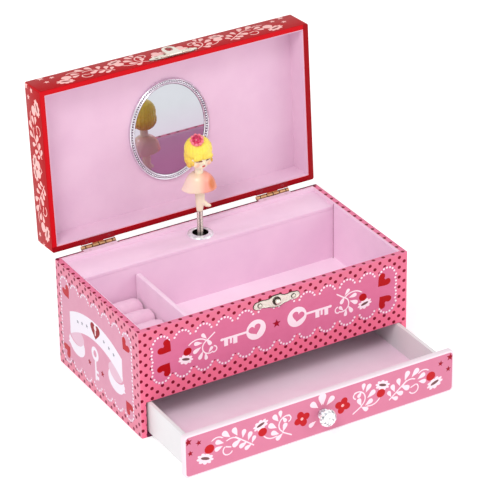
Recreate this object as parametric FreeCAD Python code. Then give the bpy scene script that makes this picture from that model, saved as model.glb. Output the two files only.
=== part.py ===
import FreeCAD, Part
import math
import os

# Ballerina jewellery box, millimetres.  Origin: centre of the case's bottom face, +X right,
# -Y front, +Z up.  Rest pose: lid open on its stop, drawer part way out, doll upright.

V = FreeCAD.Vector
X_AXIS = V(1, 0, 0)
Y_AXIS = V(0, 1, 0)
Z_AXIS = V(0, 0, 1)

# ---- case: a board box with a drawer bay below and a lined tray above
CASE_WIDTH = 225.0
CASE_DEPTH = 128.0
CASE_HEIGHT = 87.0
BOARD = 4.5
BASE_THICKNESS = 3.0
FASCIA_BOTTOM = 29.0
DECK_THICKNESS = 3.0
TRAY_FLOOR = 39.5
LINING = 1.0
LINING_DROP = 1.0

# ---- back shelf that hides the musical movement, tray divider and ring rolls
SHELF_DEPTH = 28.5
SHELF_DROP = 3.0
SHELF_THICKNESS = 3.0
SHELF_WALL = 3.0
RING_BAY_WIDTH = 43.0
DIVIDER_THICKNESS = 4.0
DIVIDER_DROP = 11.0
ROLL_COUNT = 5
ROLL_HEIGHT = 20.5
ROLL_GAP = 0.6
SOFT_CLEARANCE = 0.3

# ---- lid, drawn closed and then swung open about the hinge pins
LID_DEPTH = 24.0
LID_GAP = 0.4
LID_WALL = 4.0
LID_PANEL = 3.0
LID_OPEN_ANGLE = 93.5
MIRROR_WIDTH = 68.0
MIRROR_HEIGHT = 81.0
MIRROR_RIM = 4.5
MIRROR_RIM_THICKNESS = 2.5
GLASS_THICKNESS = 1.5
GLASS_CLEARANCE = 0.1

# ---- butt hinges on the back edge
HINGE_SPACING = 150.0
HINGE_LENGTH = 28.0
LEAF_THICKNESS = 0.8
LEAF_INSET = 0.7
PIN_OFFSET = 2.6
PIN_RADIUS = 0.8
KNUCKLE_RADIUS = 1.7
KNUCKLE_GAP = 0.2
RUNNING_CLEARANCE = 0.05
SCREW_RADIUS = 0.6
SCREW_LENGTH = 5.0
HINGE_SCREW_LENGTH = 3.4
SCREW_HEAD_RADIUS = 1.3
SCREW_HEAD_HEIGHT = 0.4
LEAF_EDGE = 0.4
NOTCH_EDGE = 0.3

# ---- front catch: plate and stud on the fascia, hasp on the lid
CATCH_DROP = 7.2
CATCH_WIDTH = 38.0
CATCH_HEIGHT = 6.0
CATCH_BOSS_RADIUS = 5.2
PLATE_THICKNESS = 0.8
PLATE_CORNER = 1.5
CATCH_SCREW_SPACING = 28.0
STUD_RADIUS = 2.0
STUD_LENGTH = 3.0
STUD_ROUND = 0.8
HASP_WIDTH = 40.0
HASP_HEIGHT = 7.0
HASP_AXIS_RISE = 2.2
HASP_AXIS_OUT = 1.9
HASP_KNUCKLE_RADIUS = 1.0
HASP_PIN_RADIUS = 0.5
HASP_KNUCKLE_LENGTH = 6.0
HASP_EAR = 0.8
HASP_SCREW_DROP = 2.5
FLAP_WIDTH = 11.0
FLAP_THICKNESS = 0.7
SLOT_WIDTH = 5.5
SLOT_LENGTH = 7.5

# ---- drawer, drawn shut and then pulled out
DRAWER_OUT = 57.0
DRAWER_TRAVEL_LEFT = 30.0
DRAWER_STOP_GAP = 0.5
DRAWER_LENGTH = 115.0
DRAWER_FRONT_THICKNESS = 5.0
DRAWER_FRONT_HEIGHT = 34.5
DRAWER_FRONT_LIFT = 0.6
DRAWER_FRONT_CORNER = 3.0
DRAWER_FRONT_GAP = 0.3
DRAWER_SIDE_GAP = 1.7
DRAWER_BOARD = 3.0
DRAWER_RUN_GAP = 0.3
DRAWER_TOP_GAP = 0.5
DRAWER_BOTTOM_RISE = 1.0
DRAWER_BOTTOM_THICKNESS = 2.0
DRAWER_LINING = 0.8
STOP_TAB_WIDTH = 30.0
STOP_TAB_RISE = 5.0
STOP_BLOCK_DEPTH = 6.0
GUIDE_WIDTH = 6.0
KNOB_RADIUS = 7.0
KNOB_REACH = 12.0
KNOB_NECK = 3.0
KNOB_GIRDLE = 7.2
KNOB_SHOULDER = 9.4
KNOB_FACETS = 10
FERRULE_RADIUS = 4.34
FERRULE_EDGE = 0.8
STEM_RADIUS = 2.52
KNOB_SCREW_RADIUS = 1.5
KNOB_SCREW_HEAD = 3.0
KNOB_SCREW_HEAD_HEIGHT = 1.5
KNOB_THREAD_REACH = 6.0

# ---- ballerina on her pole
SPINDLE_INSET = 13.5
GROMMET_RADIUS = 10.0
GROMMET_FLANGE = 1.5
GROMMET_TUBE = 7.5
GROMMET_BORE = 6.0
POLE_RADIUS = 2.3
PIVOT_RISE = 4.5
PIVOT_GAP = 0.15
LEG_BASE_RISE = 18.0
POLE_PIN_RADIUS = 1.5
POLE_PIN_LENGTH = 8.0
LEG_FOOT_RADIUS = 2.8
LEG_TOP_RADIUS = 3.4
THIGH_RADIUS = 3.0
KNEE_RADIUS = 2.3
TOE_RADIUS = 1.4
KNEE_SIDE = 3.4
KNEE_FORWARD = 2.2
KNEE_DROP = 10.5
SHIN_LENGTH = 9.0
HEM_RISE = 38.0
HEM_RADIUS = 12.6
WAIST_RISE = 51.0
NECK_RADIUS = 3.2
DRESS_WALL = 1.2
ARM_LENGTH = 11.0
SHOULDER_RADIUS = 1.9
WRIST_RADIUS = 1.3
SHOULDER_SIDE = 5.6
SHOULDER_DROP = 2.2
HEAD_RISE = 63.0
HEAD_RADIUS = 9.4
HAIR_RISE = 69.0
HAIR_RADIUS = 10.5
FACE_OPENING = 14.0
CURL_RADIUS = 3.4
CURL_SIDE = 8.8
CURL_DROP = 9.0
CROWN_RADIUS = 4.4
CROWN_HEIGHT = 4.4
CROWN_TILT = 38.0

# ---- musical movement in the bay behind the tray
BEDPLATE_WIDTH = 52.0
BEDPLATE_THICKNESS = 1.5
BARREL_RADIUS = 10.5
BARREL_LENGTH = 7.5
BARREL_WALL = 1.0
BARREL_FLOOR_GAP = 1.0
BARREL_BACK_GAP = 1.0
BARREL_PIVOT_RADIUS = 0.8
SPRING_CORE_RADIUS = 2.2
SPRING_TURNS = 5
SPRING_STRIP = 0.3
FACE_TEETH = 40
FACE_TOOTH_HEIGHT = 1.3
FACE_TOOTH_WIDTH = 0.54
FACE_TOOTH_RIM = 1.0
PINION_TEETH = 10
PINION_HEIGHT = 3.0
ARBOR_RADIUS = 1.0
WINDING_RADIUS = 1.5
KEY_HOLE_MARGIN = 2.5
KEY_STAND_OFF = 2.0
KEY_HUB_RADIUS = 3.0
KEY_LOBE_RADIUS = 4.0
KEY_THICKNESS = 2.2
KEY_WIDTH = 8.0
KEY_REACH = 14.0
KEY_SPAN = 22.0
FRAME_PLATE = 1.0
DRUM_RADIUS = 6.2
PIN_HEIGHT = 0.65
PIN_WIRE_RADIUS = 0.15
DRUM_END_GAP = 0.6
NOTES_PER_TRACK = 2
TINE_COUNT = 18
WHEEL_MODULE = 0.4
WHEEL_TEETH = 32
GOVERNOR_PINION_TEETH = 8
FLY_MODULE = 0.2625
FLY_WHEEL_TEETH = 32
FLY_PINION_TEETH = 8
GOVERNOR_BEARING_ANGLE = -40.0
FAN_RADIUS = 4.4
FAN_THICKNESS = 0.5
WHEEL_FACE = 1.6
GOVERNOR_SHAFT_RADIUS = 0.7
FLY_SHAFT_RADIUS = 0.5

# ---- positions worked out from the driving sizes
HALF_WIDTH = CASE_WIDTH / 2
HALF_DEPTH = CASE_DEPTH / 2
INNER_X = HALF_WIDTH - BOARD
INNER_FRONT = -HALF_DEPTH + BOARD
INNER_BACK = HALF_DEPTH - BOARD
DECK_TOP = TRAY_FLOOR - LINING
DECK_BOTTOM = DECK_TOP - DECK_THICKNESS
SHELF_TOP = CASE_HEIGHT - SHELF_DROP
SHELF_BOTTOM = SHELF_TOP - SHELF_THICKNESS
SHELF_FRONT = INNER_BACK - SHELF_DEPTH
TRAY_LEFT = -INNER_X + LINING
TRAY_FRONT = INNER_FRONT + LINING
DIVIDER_LEFT = TRAY_LEFT + RING_BAY_WIDTH
SPINDLE_Y = INNER_BACK - SPINDLE_INSET
PIVOT_Z = SHELF_TOP + PIVOT_RISE
HINGE_Y = HALF_DEPTH + PIN_OFFSET
HINGE_Z = CASE_HEIGHT + LID_GAP / 2
LID_BOTTOM = CASE_HEIGHT + LID_GAP
LID_TOP = LID_BOTTOM + LID_DEPTH
LID_CEILING = LID_TOP - LID_PANEL - LINING
HASP_Y = -HALF_DEPTH - HASP_AXIS_OUT
HASP_Z = LID_BOTTOM + HASP_AXIS_RISE
CATCH_Z = CASE_HEIGHT - CATCH_DROP
DRAWER_FACE_BACK = -HALF_DEPTH - DRAWER_FRONT_GAP
DRAWER_X = INNER_X - DRAWER_SIDE_GAP
DRAWER_Z = BASE_THICKNESS + DRAWER_RUN_GAP
DRAWER_SIDE_TOP = FASCIA_BOTTOM - DRAWER_TOP_GAP
DRAWER_END = DRAWER_FACE_BACK + DRAWER_LENGTH
DRAWER_FLOOR = DRAWER_Z + DRAWER_BOTTOM_RISE + DRAWER_BOTTOM_THICKNESS
KNOB_Z = DRAWER_FRONT_LIFT + DRAWER_FRONT_HEIGHT / 2
BED_FRONT = INNER_BACK - BEDPLATE_THICKNESS
BARREL_Z = DECK_TOP + BARREL_FLOOR_GAP + BARREL_RADIUS
BARREL_BACK = BED_FRONT - BARREL_BACK_GAP
BARREL_FRONT = BARREL_BACK - BARREL_LENGTH
FACE_PITCH_RADIUS = BARREL_RADIUS - FACE_TOOTH_RIM
MESH_Z = BARREL_Z + FACE_PITCH_RADIUS
PINION_PITCH = FACE_PITCH_RADIUS * PINION_TEETH / FACE_TEETH
PINION_SCALE = PINION_PITCH / 2.375  # tooth sizes are given for a pitch radius of 2.375
LOWER_PLATE = BARREL_Z + BARREL_RADIUS + 0.7
UPPER_PLATE = SHELF_BOTTOM - 3.8
GOVERNOR_DISTANCE = WHEEL_MODULE * (WHEEL_TEETH + GOVERNOR_PINION_TEETH) / 2
GOVERNOR_X = GOVERNOR_DISTANCE * math.cos(math.radians(GOVERNOR_BEARING_ANGLE))
GOVERNOR_Y = SPINDLE_Y + GOVERNOR_DISTANCE * math.sin(math.radians(GOVERNOR_BEARING_ANGLE))
FLY_DISTANCE = FLY_MODULE * (FLY_WHEEL_TEETH + FLY_PINION_TEETH) / 2
FLY_X = GOVERNOR_X + FLY_DISTANCE
TRAIN_Z = UPPER_PLATE - 2.6


def block(x, y, z):
    """Box from three (low, high) pairs."""
    return Part.makeBox(x[1] - x[0], y[1] - y[0], z[1] - z[0], V(x[0], y[0], z[0]))


def rod(radius, base, axis, length):
    return Part.makeCylinder(radius, length, V(*base), axis)


def tube(outer, inner, base, axis, length):
    return rod(outer, base, axis, length).cut(rod(inner, base, axis, length))


def ball(radius, centre):
    return Part.makeSphere(radius, V(*centre))


def fused(pieces):
    return pieces[0].multiFuse(pieces[1:]).removeSplitter()


def both_sides(shape):
    """The shape and its mirror image across the box's middle plane."""
    return [shape, shape.mirror(V(0, 0, 0), X_AXIS)]


def turned(points, centre):
    """Solid of revolution about a vertical axis from (radius, height) points."""
    wire = Part.makePolygon([V(r, 0, z) for r, z in points + points[:1]])
    solid = Part.Face(wire).revolve(V(0, 0, 0), Z_AXIS, 360)
    solid.translate(V(*centre))
    return solid


def rounded_plate(width, height, radius, thickness):
    """Plate in the XZ plane, centred, with rounded corners; its front face is at y = 0."""
    plate = block((-width / 2, width / 2), (0, thickness), (-height / 2, height / 2))
    corners = [e for e in plate.Edges if abs(e.tangentAt(e.FirstParameter).y) > 0.9]
    return plate.makeFillet(radius, corners)


def spur_gear(teeth, module, z_low, thickness, phase=0.0):
    """Straight-toothed wheel about the Z axis with generous backlash."""
    pitch = module * teeth / 2
    tip, root = pitch + 0.8 * module, pitch - 1.1 * module
    step = 2 * math.pi / teeth
    points = []
    for i in range(teeth):
        middle = math.radians(phase) + i * step
        outline = ((root, -0.30), (tip, -0.13), (tip, 0.13), (root, 0.30))
        points += [V(r * math.cos(middle + a * step), r * math.sin(middle + a * step), z_low)
                   for r, a in outline]
    face = Part.Face(Part.makePolygon(points + points[:1]))
    return face.extrude(V(0, 0, thickness))


def wood_screw(position, direction, length=SCREW_LENGTH):
    """Small raised-head screw; direction points into the wood."""
    head_base = V(*position) - direction * SCREW_HEAD_HEIGHT
    head = Part.makeCylinder(SCREW_HEAD_RADIUS, SCREW_HEAD_HEIGHT, head_base, direction)
    return head.fuse(Part.makeCylinder(SCREW_RADIUS, length, V(*position), direction)).removeSplitter()


def screw_hole(position, direction, length=SCREW_LENGTH):
    return Part.makeCylinder(SCREW_RADIUS, length, V(*position), direction)


def flush_screw(position, direction):
    """Countersunk screw whose head fills the hinge leaf's countersink."""
    head = Part.makeCone(SCREW_HEAD_RADIUS, SCREW_RADIUS, LEAF_THICKNESS - 0.1, V(*position), direction)
    shank = Part.makeCylinder(SCREW_RADIUS, HINGE_SCREW_LENGTH, V(*position), direction)
    return head.fuse(shank).removeSplitter()


def opened(shape):
    """Swings a closed-lid shape back onto the open stop."""
    swung = shape.copy()
    swung.rotate(V(0, HINGE_Y, HINGE_Z), X_AXIS, -LID_OPEN_ANGLE)
    return swung


def pulled(shape):
    moved = shape.copy()
    moved.translate(V(0, -DRAWER_OUT, 0))
    return moved


def save(name, solids):
    """Writes one node: a single solid or a group of identical or related solids."""
    shape = solids[0] if len(solids) == 1 else Part.makeCompound(solids)
    for solid in shape.Solids:
        if not solid.isValid():
            raise ValueError(name)
    shape.exportStep("parts/%s.step" % name)
    print("%-22s %d solid(s) %10.1f mm3" % (name, len(shape.Solids), shape.Volume))


# ---- where screws go (position on the surface, direction into the wood)
def hinge_screw_spots(height, direction):
    middle = INNER_BACK + BOARD / 2
    return [((side * HINGE_SPACING / 2 + step, middle, height), direction)
            for side in (-1, 1) for step in (-HINGE_LENGTH / 3, HINGE_LENGTH / 3)]


CASE_HINGE_SCREWS = hinge_screw_spots(CASE_HEIGHT - LEAF_INSET + LEAF_THICKNESS, -Z_AXIS)
LID_HINGE_SCREWS = hinge_screw_spots(LID_BOTTOM + LEAF_INSET - LEAF_THICKNESS, Z_AXIS)
CATCH_SCREWS = [((side * CATCH_SCREW_SPACING / 2, -HALF_DEPTH - PLATE_THICKNESS, CATCH_Z), Y_AXIS)
                for side in (-1, 1)]
HASP_SCREW_Z = LID_BOTTOM + HASP_AXIS_RISE + HASP_HEIGHT - HASP_SCREW_DROP
HASP_SCREWS = [((side * HASP_WIDTH / 3, -HALF_DEPTH - PLATE_THICKNESS, HASP_SCREW_Z), Y_AXIS)
               for side in (-1, 1)]
BED_SCREW_X = BEDPLATE_WIDTH / 2 - 4.0
BED_SCREWS = [((side * BED_SCREW_X, HALF_DEPTH, z), -Y_AXIS)
              for side in (-1, 1) for z in (DECK_TOP + 5.0, SHELF_BOTTOM - 5.0)]
BED_SCREW_LENGTH = BOARD + BEDPLATE_THICKNESS


def leaf_mortises(z_low, z_high):
    return [block((side * HINGE_SPACING / 2 - HINGE_LENGTH / 2, side * HINGE_SPACING / 2 + HINGE_LENGTH / 2),
                  (INNER_BACK, HALF_DEPTH), (z_low, z_high)) for side in (-1, 1)]


def case_boards():
    """Base, two sides, back and fascia; the sides run the full depth."""
    base = block((-INNER_X, INNER_X), (-HALF_DEPTH, INNER_BACK), (0, BASE_THICKNESS))
    left = block((-HALF_WIDTH, -INNER_X), (-HALF_DEPTH, HALF_DEPTH), (0, CASE_HEIGHT))
    right = left.mirror(V(0, 0, 0), X_AXIS)
    back = block((-INNER_X, INNER_X), (INNER_BACK, HALF_DEPTH), (0, CASE_HEIGHT))
    key_hole = rod(WINDING_RADIUS + KEY_HOLE_MARGIN, (0, INNER_BACK - 1, BARREL_Z), Y_AXIS, BOARD + 2)
    back = back.cut(leaf_mortises(CASE_HEIGHT - LEAF_INSET, CASE_HEIGHT) + [key_hole]
                    + [screw_hole(p, d, HINGE_SCREW_LENGTH) for p, d in CASE_HINGE_SCREWS]
                    + [screw_hole(p, d, BED_SCREW_LENGTH) for p, d in BED_SCREWS])
    fascia = block((-INNER_X, INNER_X), (-HALF_DEPTH, INNER_FRONT), (FASCIA_BOTTOM, CASE_HEIGHT))
    stud_hole = rod(STUD_RADIUS / 2, (0, -HALF_DEPTH, CATCH_Z), Y_AXIS, BOARD - 1)
    fascia = fascia.cut([screw_hole(p, d, BOARD) for p, d in CATCH_SCREWS] + [stud_hole])
    return {"case_base": [base], "case_left_side": [left], "case_right_side": [right],
            "case_back": [back], "front_fascia": [fascia]}


def drawer_bay():
    """Deck over the drawer, its two side guides and the stop block under the deck."""
    deck = block((-INNER_X, INNER_X), (INNER_FRONT, INNER_BACK), (DECK_BOTTOM, DECK_TOP))
    guide = block((-INNER_X, -INNER_X + GUIDE_WIDTH), (INNER_FRONT, INNER_BACK), (FASCIA_BOTTOM, DECK_BOTTOM))
    tab_front = DRAWER_END - DRAWER_BOARD - DRAWER_OUT - DRAWER_TRAVEL_LEFT
    stop_back = tab_front - DRAWER_STOP_GAP
    stop = block((-STOP_TAB_WIDTH / 2, STOP_TAB_WIDTH / 2), (stop_back - STOP_BLOCK_DEPTH, stop_back),
                 (FASCIA_BOTTOM, DECK_BOTTOM))
    return {"tray_deck": [deck], "drawer_guides": both_sides(guide) + [stop]}


def tray():
    """Flocked linings, shelf over the movement bay, its front wall, the divider and the ring rolls."""
    floor = block((-INNER_X, INNER_X), (INNER_FRONT, SHELF_FRONT), (DECK_TOP, TRAY_FLOOR))
    lining_top = CASE_HEIGHT - LINING_DROP
    front = block((-INNER_X, INNER_X), (INNER_FRONT, TRAY_FRONT), (TRAY_FLOOR, lining_top))
    left = block((-INNER_X, TRAY_LEFT), (TRAY_FRONT, SHELF_FRONT), (TRAY_FLOOR, lining_top))
    wall = block((-INNER_X, INNER_X), (SHELF_FRONT, SHELF_FRONT + SHELF_WALL), (DECK_TOP, SHELF_BOTTOM))
    shelf = block((-INNER_X, INNER_X), (SHELF_FRONT, INNER_BACK), (SHELF_BOTTOM, SHELF_TOP))
    shelf = shelf.cut(rod(GROMMET_TUBE, (0, SPINDLE_Y, SHELF_BOTTOM - 1), Z_AXIS, SHELF_THICKNESS + 2))
    divider = block((DIVIDER_LEFT, DIVIDER_LEFT + DIVIDER_THICKNESS), (TRAY_FRONT, SHELF_FRONT),
                    (TRAY_FLOOR, CASE_HEIGHT - DIVIDER_DROP))
    pitch = (SHELF_FRONT - TRAY_FRONT) / ROLL_COUNT
    rolls = [ring_roll(TRAY_FRONT + (i + 0.5) * pitch, pitch - ROLL_GAP) for i in range(ROLL_COUNT)]
    return {"tray_lining": [floor, front] + both_sides(left), "movement_shelf": [shelf],
            "shelf_front_wall": [wall], "tray_divider": [divider], "ring_rolls": rolls}


def ring_roll(y_middle, thickness):
    """Padded bar with a round top, lying across the ring bay."""
    radius = thickness / 2
    x_low, x_high = TRAY_LEFT + SOFT_CLEARANCE, DIVIDER_LEFT - SOFT_CLEARANCE
    crown_z = TRAY_FLOOR + ROLL_HEIGHT - radius
    body = block((x_low, x_high), (y_middle - radius, y_middle + radius), (TRAY_FLOOR, crown_z))
    crown = rod(radius, (x_low, y_middle, crown_z), X_AXIS, x_high - x_low)
    return body.fuse(crown).removeSplitter()


def hinges():
    """Two butt hinges: case leaves, lid leaves, pins and their screws."""
    leaf_zone = (INNER_BACK + LEAF_EDGE, HINGE_Y - PIN_RADIUS)
    segment = HINGE_LENGTH / 3
    case_leaves, lid_leaves, pins = [], [], []
    case_z = (CASE_HEIGHT - LEAF_INSET, CASE_HEIGHT - LEAF_INSET + LEAF_THICKNESS)
    lid_z = (LID_BOTTOM + LEAF_INSET - LEAF_THICKNESS, LID_BOTTOM + LEAF_INSET)
    for side in (-1, 1):
        start = side * HINGE_SPACING / 2 - HINGE_LENGTH / 2
        bore = rod(PIN_RADIUS + RUNNING_CLEARANCE, (start - 1, HINGE_Y, HINGE_Z), X_AXIS, HINGE_LENGTH + 2)
        whole = (start, start + HINGE_LENGTH)
        middle = (start + segment, start + 2 * segment)
        outer_knuckles = [rod(KNUCKLE_RADIUS, (start, HINGE_Y, HINGE_Z), X_AXIS, segment),
                          rod(KNUCKLE_RADIUS, (middle[1], HINGE_Y, HINGE_Z), X_AXIS, segment)]
        middle_knuckle = rod(KNUCKLE_RADIUS, (middle[0] + KNUCKLE_GAP, HINGE_Y, HINGE_Z), X_AXIS,
                             segment - 2 * KNUCKLE_GAP)
        notch_y = (HALF_DEPTH + NOTCH_EDGE, HINGE_Y + KNUCKLE_RADIUS)
        case_notch = block(middle, notch_y, (case_z[0] - 2, case_z[1] + 2))
        lid_notches = [block((whole[0], middle[0] + KNUCKLE_GAP), notch_y, (lid_z[0] - 2, lid_z[1] + 2)),
                       block((middle[1] - KNUCKLE_GAP, whole[1]), notch_y, (lid_z[0] - 2, lid_z[1] + 2))]
        case_plate = block(whole, leaf_zone, case_z).cut(case_notch)
        lid_plate = block(whole, leaf_zone, lid_z).cut(lid_notches)
        case_holes = [flush_screw(p, d) for p, d in CASE_HINGE_SCREWS]
        lid_holes = [flush_screw(p, d) for p, d in LID_HINGE_SCREWS]
        case_leaves.append(fused([case_plate] + outer_knuckles).cut([bore] + case_holes))
        lid_leaves.append(opened(fused([lid_plate, middle_knuckle]).cut([bore] + lid_holes)))
        pins.append(rod(PIN_RADIUS, (start, HINGE_Y, HINGE_Z), X_AXIS, HINGE_LENGTH))
    return {"hinge_case_leaves": case_leaves, "hinge_lid_leaves": lid_leaves, "hinge_pins": pins}


def lid():
    """Top panel, four walls, lining, mirror and its oval frame."""
    wall_z = (LID_BOTTOM, LID_TOP - LID_PANEL)
    top = block((-HALF_WIDTH, HALF_WIDTH), (-HALF_DEPTH, HALF_DEPTH), (LID_TOP - LID_PANEL, LID_TOP))
    front = block((-HALF_WIDTH, HALF_WIDTH), (-HALF_DEPTH, -HALF_DEPTH + LID_WALL), wall_z)
    front = front.cut([screw_hole(p, d, LID_WALL) for p, d in HASP_SCREWS])
    back = block((-HALF_WIDTH, HALF_WIDTH), (HALF_DEPTH - LID_WALL, HALF_DEPTH), wall_z)
    back = back.cut(leaf_mortises(LID_BOTTOM, LID_BOTTOM + LEAF_INSET)
                    + [screw_hole(p, d, HINGE_SCREW_LENGTH) for p, d in LID_HINGE_SCREWS])
    inner_x, inner_y = HALF_WIDTH - LID_WALL, HALF_DEPTH - LID_WALL
    left = block((-HALF_WIDTH, -inner_x), (-inner_y, inner_y), wall_z)
    lining_z = (LID_BOTTOM + LINING_DROP, LID_TOP - LID_PANEL)
    lining = block((-inner_x, inner_x), (-inner_y, inner_y), lining_z)
    hollow = block((-inner_x + LINING, inner_x - LINING), (-inner_y + LINING, inner_y - LINING),
                   (lining_z[0], LID_CEILING))
    lining = lining.cut(hollow)
    frame = oval(MIRROR_WIDTH, MIRROR_HEIGHT, MIRROR_RIM_THICKNESS)
    glass_size = (MIRROR_WIDTH - 2 * MIRROR_RIM, MIRROR_HEIGHT - 2 * MIRROR_RIM)
    window = oval(glass_size[0], glass_size[1], MIRROR_RIM_THICKNESS)
    glass = oval(glass_size[0] - 2 * GLASS_CLEARANCE, glass_size[1] - 2 * GLASS_CLEARANCE, GLASS_THICKNESS)
    pieces = {"lid_top": [top], "lid_front_wall": [front], "lid_back_wall": [back],
              "lid_left_wall": [left], "lid_right_wall": [left.mirror(V(0, 0, 0), X_AXIS)],
              "lid_lining": [lining], "mirror_frame": [frame.cut(window)], "mirror_glass": [glass]}
    return {name: [opened(solid) for solid in solids] for name, solids in pieces.items()}


def oval(width, height, thickness):
    """Upright ellipse hanging from the lid's lined ceiling."""
    curve = Part.Ellipse(V(0, height / 2, 0), V(width / 2, 0, 0), V(0, 0, 0))
    plate = Part.Face(Part.Wire([curve.toShape()])).extrude(V(0, 0, thickness))
    plate.translate(V(0, 0, LID_CEILING - thickness))
    return plate


def latch():
    """Catch plate and stud on the fascia; hasp plate, pin and slotted flap on the lid."""
    plate = rounded_plate(CATCH_WIDTH, CATCH_HEIGHT, PLATE_CORNER, PLATE_THICKNESS)
    boss = rod(CATCH_BOSS_RADIUS, (0, 0, 0), Y_AXIS, PLATE_THICKNESS)
    catch = fused([plate, boss])
    catch.translate(V(0, -HALF_DEPTH - PLATE_THICKNESS, CATCH_Z))
    catch = catch.cut([screw_hole(p, d) for p, d in CATCH_SCREWS]
                      + [rod(STUD_RADIUS / 2, (0, -HALF_DEPTH - 1, CATCH_Z), Y_AXIS, 2)])
    tip_y = -HALF_DEPTH - PLATE_THICKNESS - STUD_LENGTH
    stud = fused([rod(STUD_RADIUS, (0, tip_y, CATCH_Z), Y_AXIS, STUD_LENGTH),
                  rod(STUD_RADIUS / 2, (0, -HALF_DEPTH - PLATE_THICKNESS - 1, CATCH_Z), Y_AXIS,
                      PLATE_THICKNESS + BOARD)])
    stud_tip = [e for e in stud.Edges if e.BoundBox.YMax < tip_y + 0.01]
    stud = stud.makeFillet(STUD_ROUND, stud_tip)

    hasp = rounded_plate(HASP_WIDTH, HASP_HEIGHT, PLATE_CORNER, PLATE_THICKNESS)
    hasp.translate(V(0, -HALF_DEPTH - PLATE_THICKNESS, HASP_Z + HASP_HEIGHT / 2))
    ears = []
    for side in (-1, 1):
        start = side * (FLAP_WIDTH / 2 + KNUCKLE_GAP + HASP_KNUCKLE_LENGTH / 2) - HASP_KNUCKLE_LENGTH / 2
        ears += [rod(HASP_KNUCKLE_RADIUS, (start, HASP_Y, HASP_Z), X_AXIS, HASP_KNUCKLE_LENGTH),
                 block((start, start + HASP_KNUCKLE_LENGTH), (HASP_Y, -HALF_DEPTH - PLATE_THICKNESS / 2),
                       (HASP_Z, HASP_Z + HASP_EAR))]
    bore = rod(HASP_PIN_RADIUS + RUNNING_CLEARANCE, (-HASP_WIDTH / 2, HASP_Y, HASP_Z), X_AXIS, HASP_WIDTH)
    hasp = fused([hasp] + ears).cut([bore] + [screw_hole(p, d) for p, d in HASP_SCREWS])
    half_pin = FLAP_WIDTH / 2 + KNUCKLE_GAP + HASP_KNUCKLE_LENGTH
    pin = rod(HASP_PIN_RADIUS, (-half_pin, HASP_Y, HASP_Z), X_AXIS, 2 * half_pin)

    drop = HASP_Z - CATCH_Z
    tongue = block((-FLAP_WIDTH / 2, FLAP_WIDTH / 2), (0, FLAP_THICKNESS), (-drop, 0))
    tip = rod(FLAP_WIDTH / 2, (0, 0, -drop), Y_AXIS, FLAP_THICKNESS)
    slot = fused([block((-SLOT_WIDTH / 2, SLOT_WIDTH / 2), (-1, 3), (-drop - 1, -drop + 1)),
                  rod(SLOT_WIDTH / 2, (0, -1, -drop - (SLOT_LENGTH - SLOT_WIDTH) / 2), Y_AXIS, 4),
                  rod(SLOT_WIDTH / 2, (0, -1, -drop + (SLOT_LENGTH - SLOT_WIDTH) / 2), Y_AXIS, 4)])
    knuckle = rod(HASP_KNUCKLE_RADIUS, (-FLAP_WIDTH / 2, FLAP_THICKNESS / 2, 0), X_AXIS, FLAP_WIDTH)
    flap = fused([tongue, tip, knuckle]).cut(slot)
    flap.translate(V(0, HASP_Y - FLAP_THICKNESS / 2, HASP_Z))
    flap.rotate(V(0, HASP_Y, HASP_Z), X_AXIS, -180)
    return {"catch_plate": [catch], "catch_stud": [stud], "hasp_plate": [opened(hasp)],
            "hasp_pin": [opened(pin)], "hasp_flap": [opened(flap.cut(bore))]}


def screws():
    """Screws grouped by the board that holds them."""
    case = [flush_screw(p, d) for p, d in CASE_HINGE_SCREWS]
    case += [wood_screw(p, d, BOARD) for p, d in CATCH_SCREWS]
    lid_group = [opened(flush_screw(p, d)) for p, d in LID_HINGE_SCREWS]
    lid_group += [opened(wood_screw(p, d, LID_WALL)) for p, d in HASP_SCREWS]
    return {"case_screws": case, "lid_screws": lid_group}


def drawer():
    """Full-width overlay front on an inset box, with a raised tab at the back as the stop."""
    face = rounded_plate(CASE_WIDTH, DRAWER_FRONT_HEIGHT, DRAWER_FRONT_CORNER, DRAWER_FRONT_THICKNESS)
    face.translate(V(0, DRAWER_FACE_BACK - DRAWER_FRONT_THICKNESS, KNOB_Z))
    screw_bore = rod(KNOB_SCREW_RADIUS, (0, DRAWER_FACE_BACK - DRAWER_FRONT_THICKNESS, KNOB_Z), Y_AXIS,
                     DRAWER_FRONT_THICKNESS)
    face = face.cut(screw_bore)
    side = block((-DRAWER_X, -DRAWER_X + DRAWER_BOARD), (DRAWER_FACE_BACK, DRAWER_END),
                 (DRAWER_Z, DRAWER_SIDE_TOP))
    inner = DRAWER_X - DRAWER_BOARD
    back_y = (DRAWER_END - DRAWER_BOARD, DRAWER_END)
    back = block((-inner, inner), back_y, (DRAWER_Z, DRAWER_SIDE_TOP))
    tab = block((-STOP_TAB_WIDTH / 2, STOP_TAB_WIDTH / 2), back_y,
                (DRAWER_SIDE_TOP, DRAWER_SIDE_TOP + STOP_TAB_RISE))
    bottom = block((-inner, inner), (DRAWER_FACE_BACK, back_y[0]),
                   (DRAWER_FLOOR - DRAWER_BOTTOM_THICKNESS, DRAWER_FLOOR))
    lining = block((-inner, inner), (DRAWER_FACE_BACK, back_y[0]),
                   (DRAWER_FLOOR, DRAWER_FLOOR + DRAWER_LINING))
    pieces = {"drawer_front": [face], "drawer_left_side": [side],
              "drawer_right_side": [side.mirror(V(0, 0, 0), X_AXIS)],
              "drawer_back": [fused([back, tab])], "drawer_bottom": [bottom], "drawer_lining": [lining]}
    pieces.update(knob())
    return {name: [pulled(solid) for solid in solids] for name, solids in pieces.items()}


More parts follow.
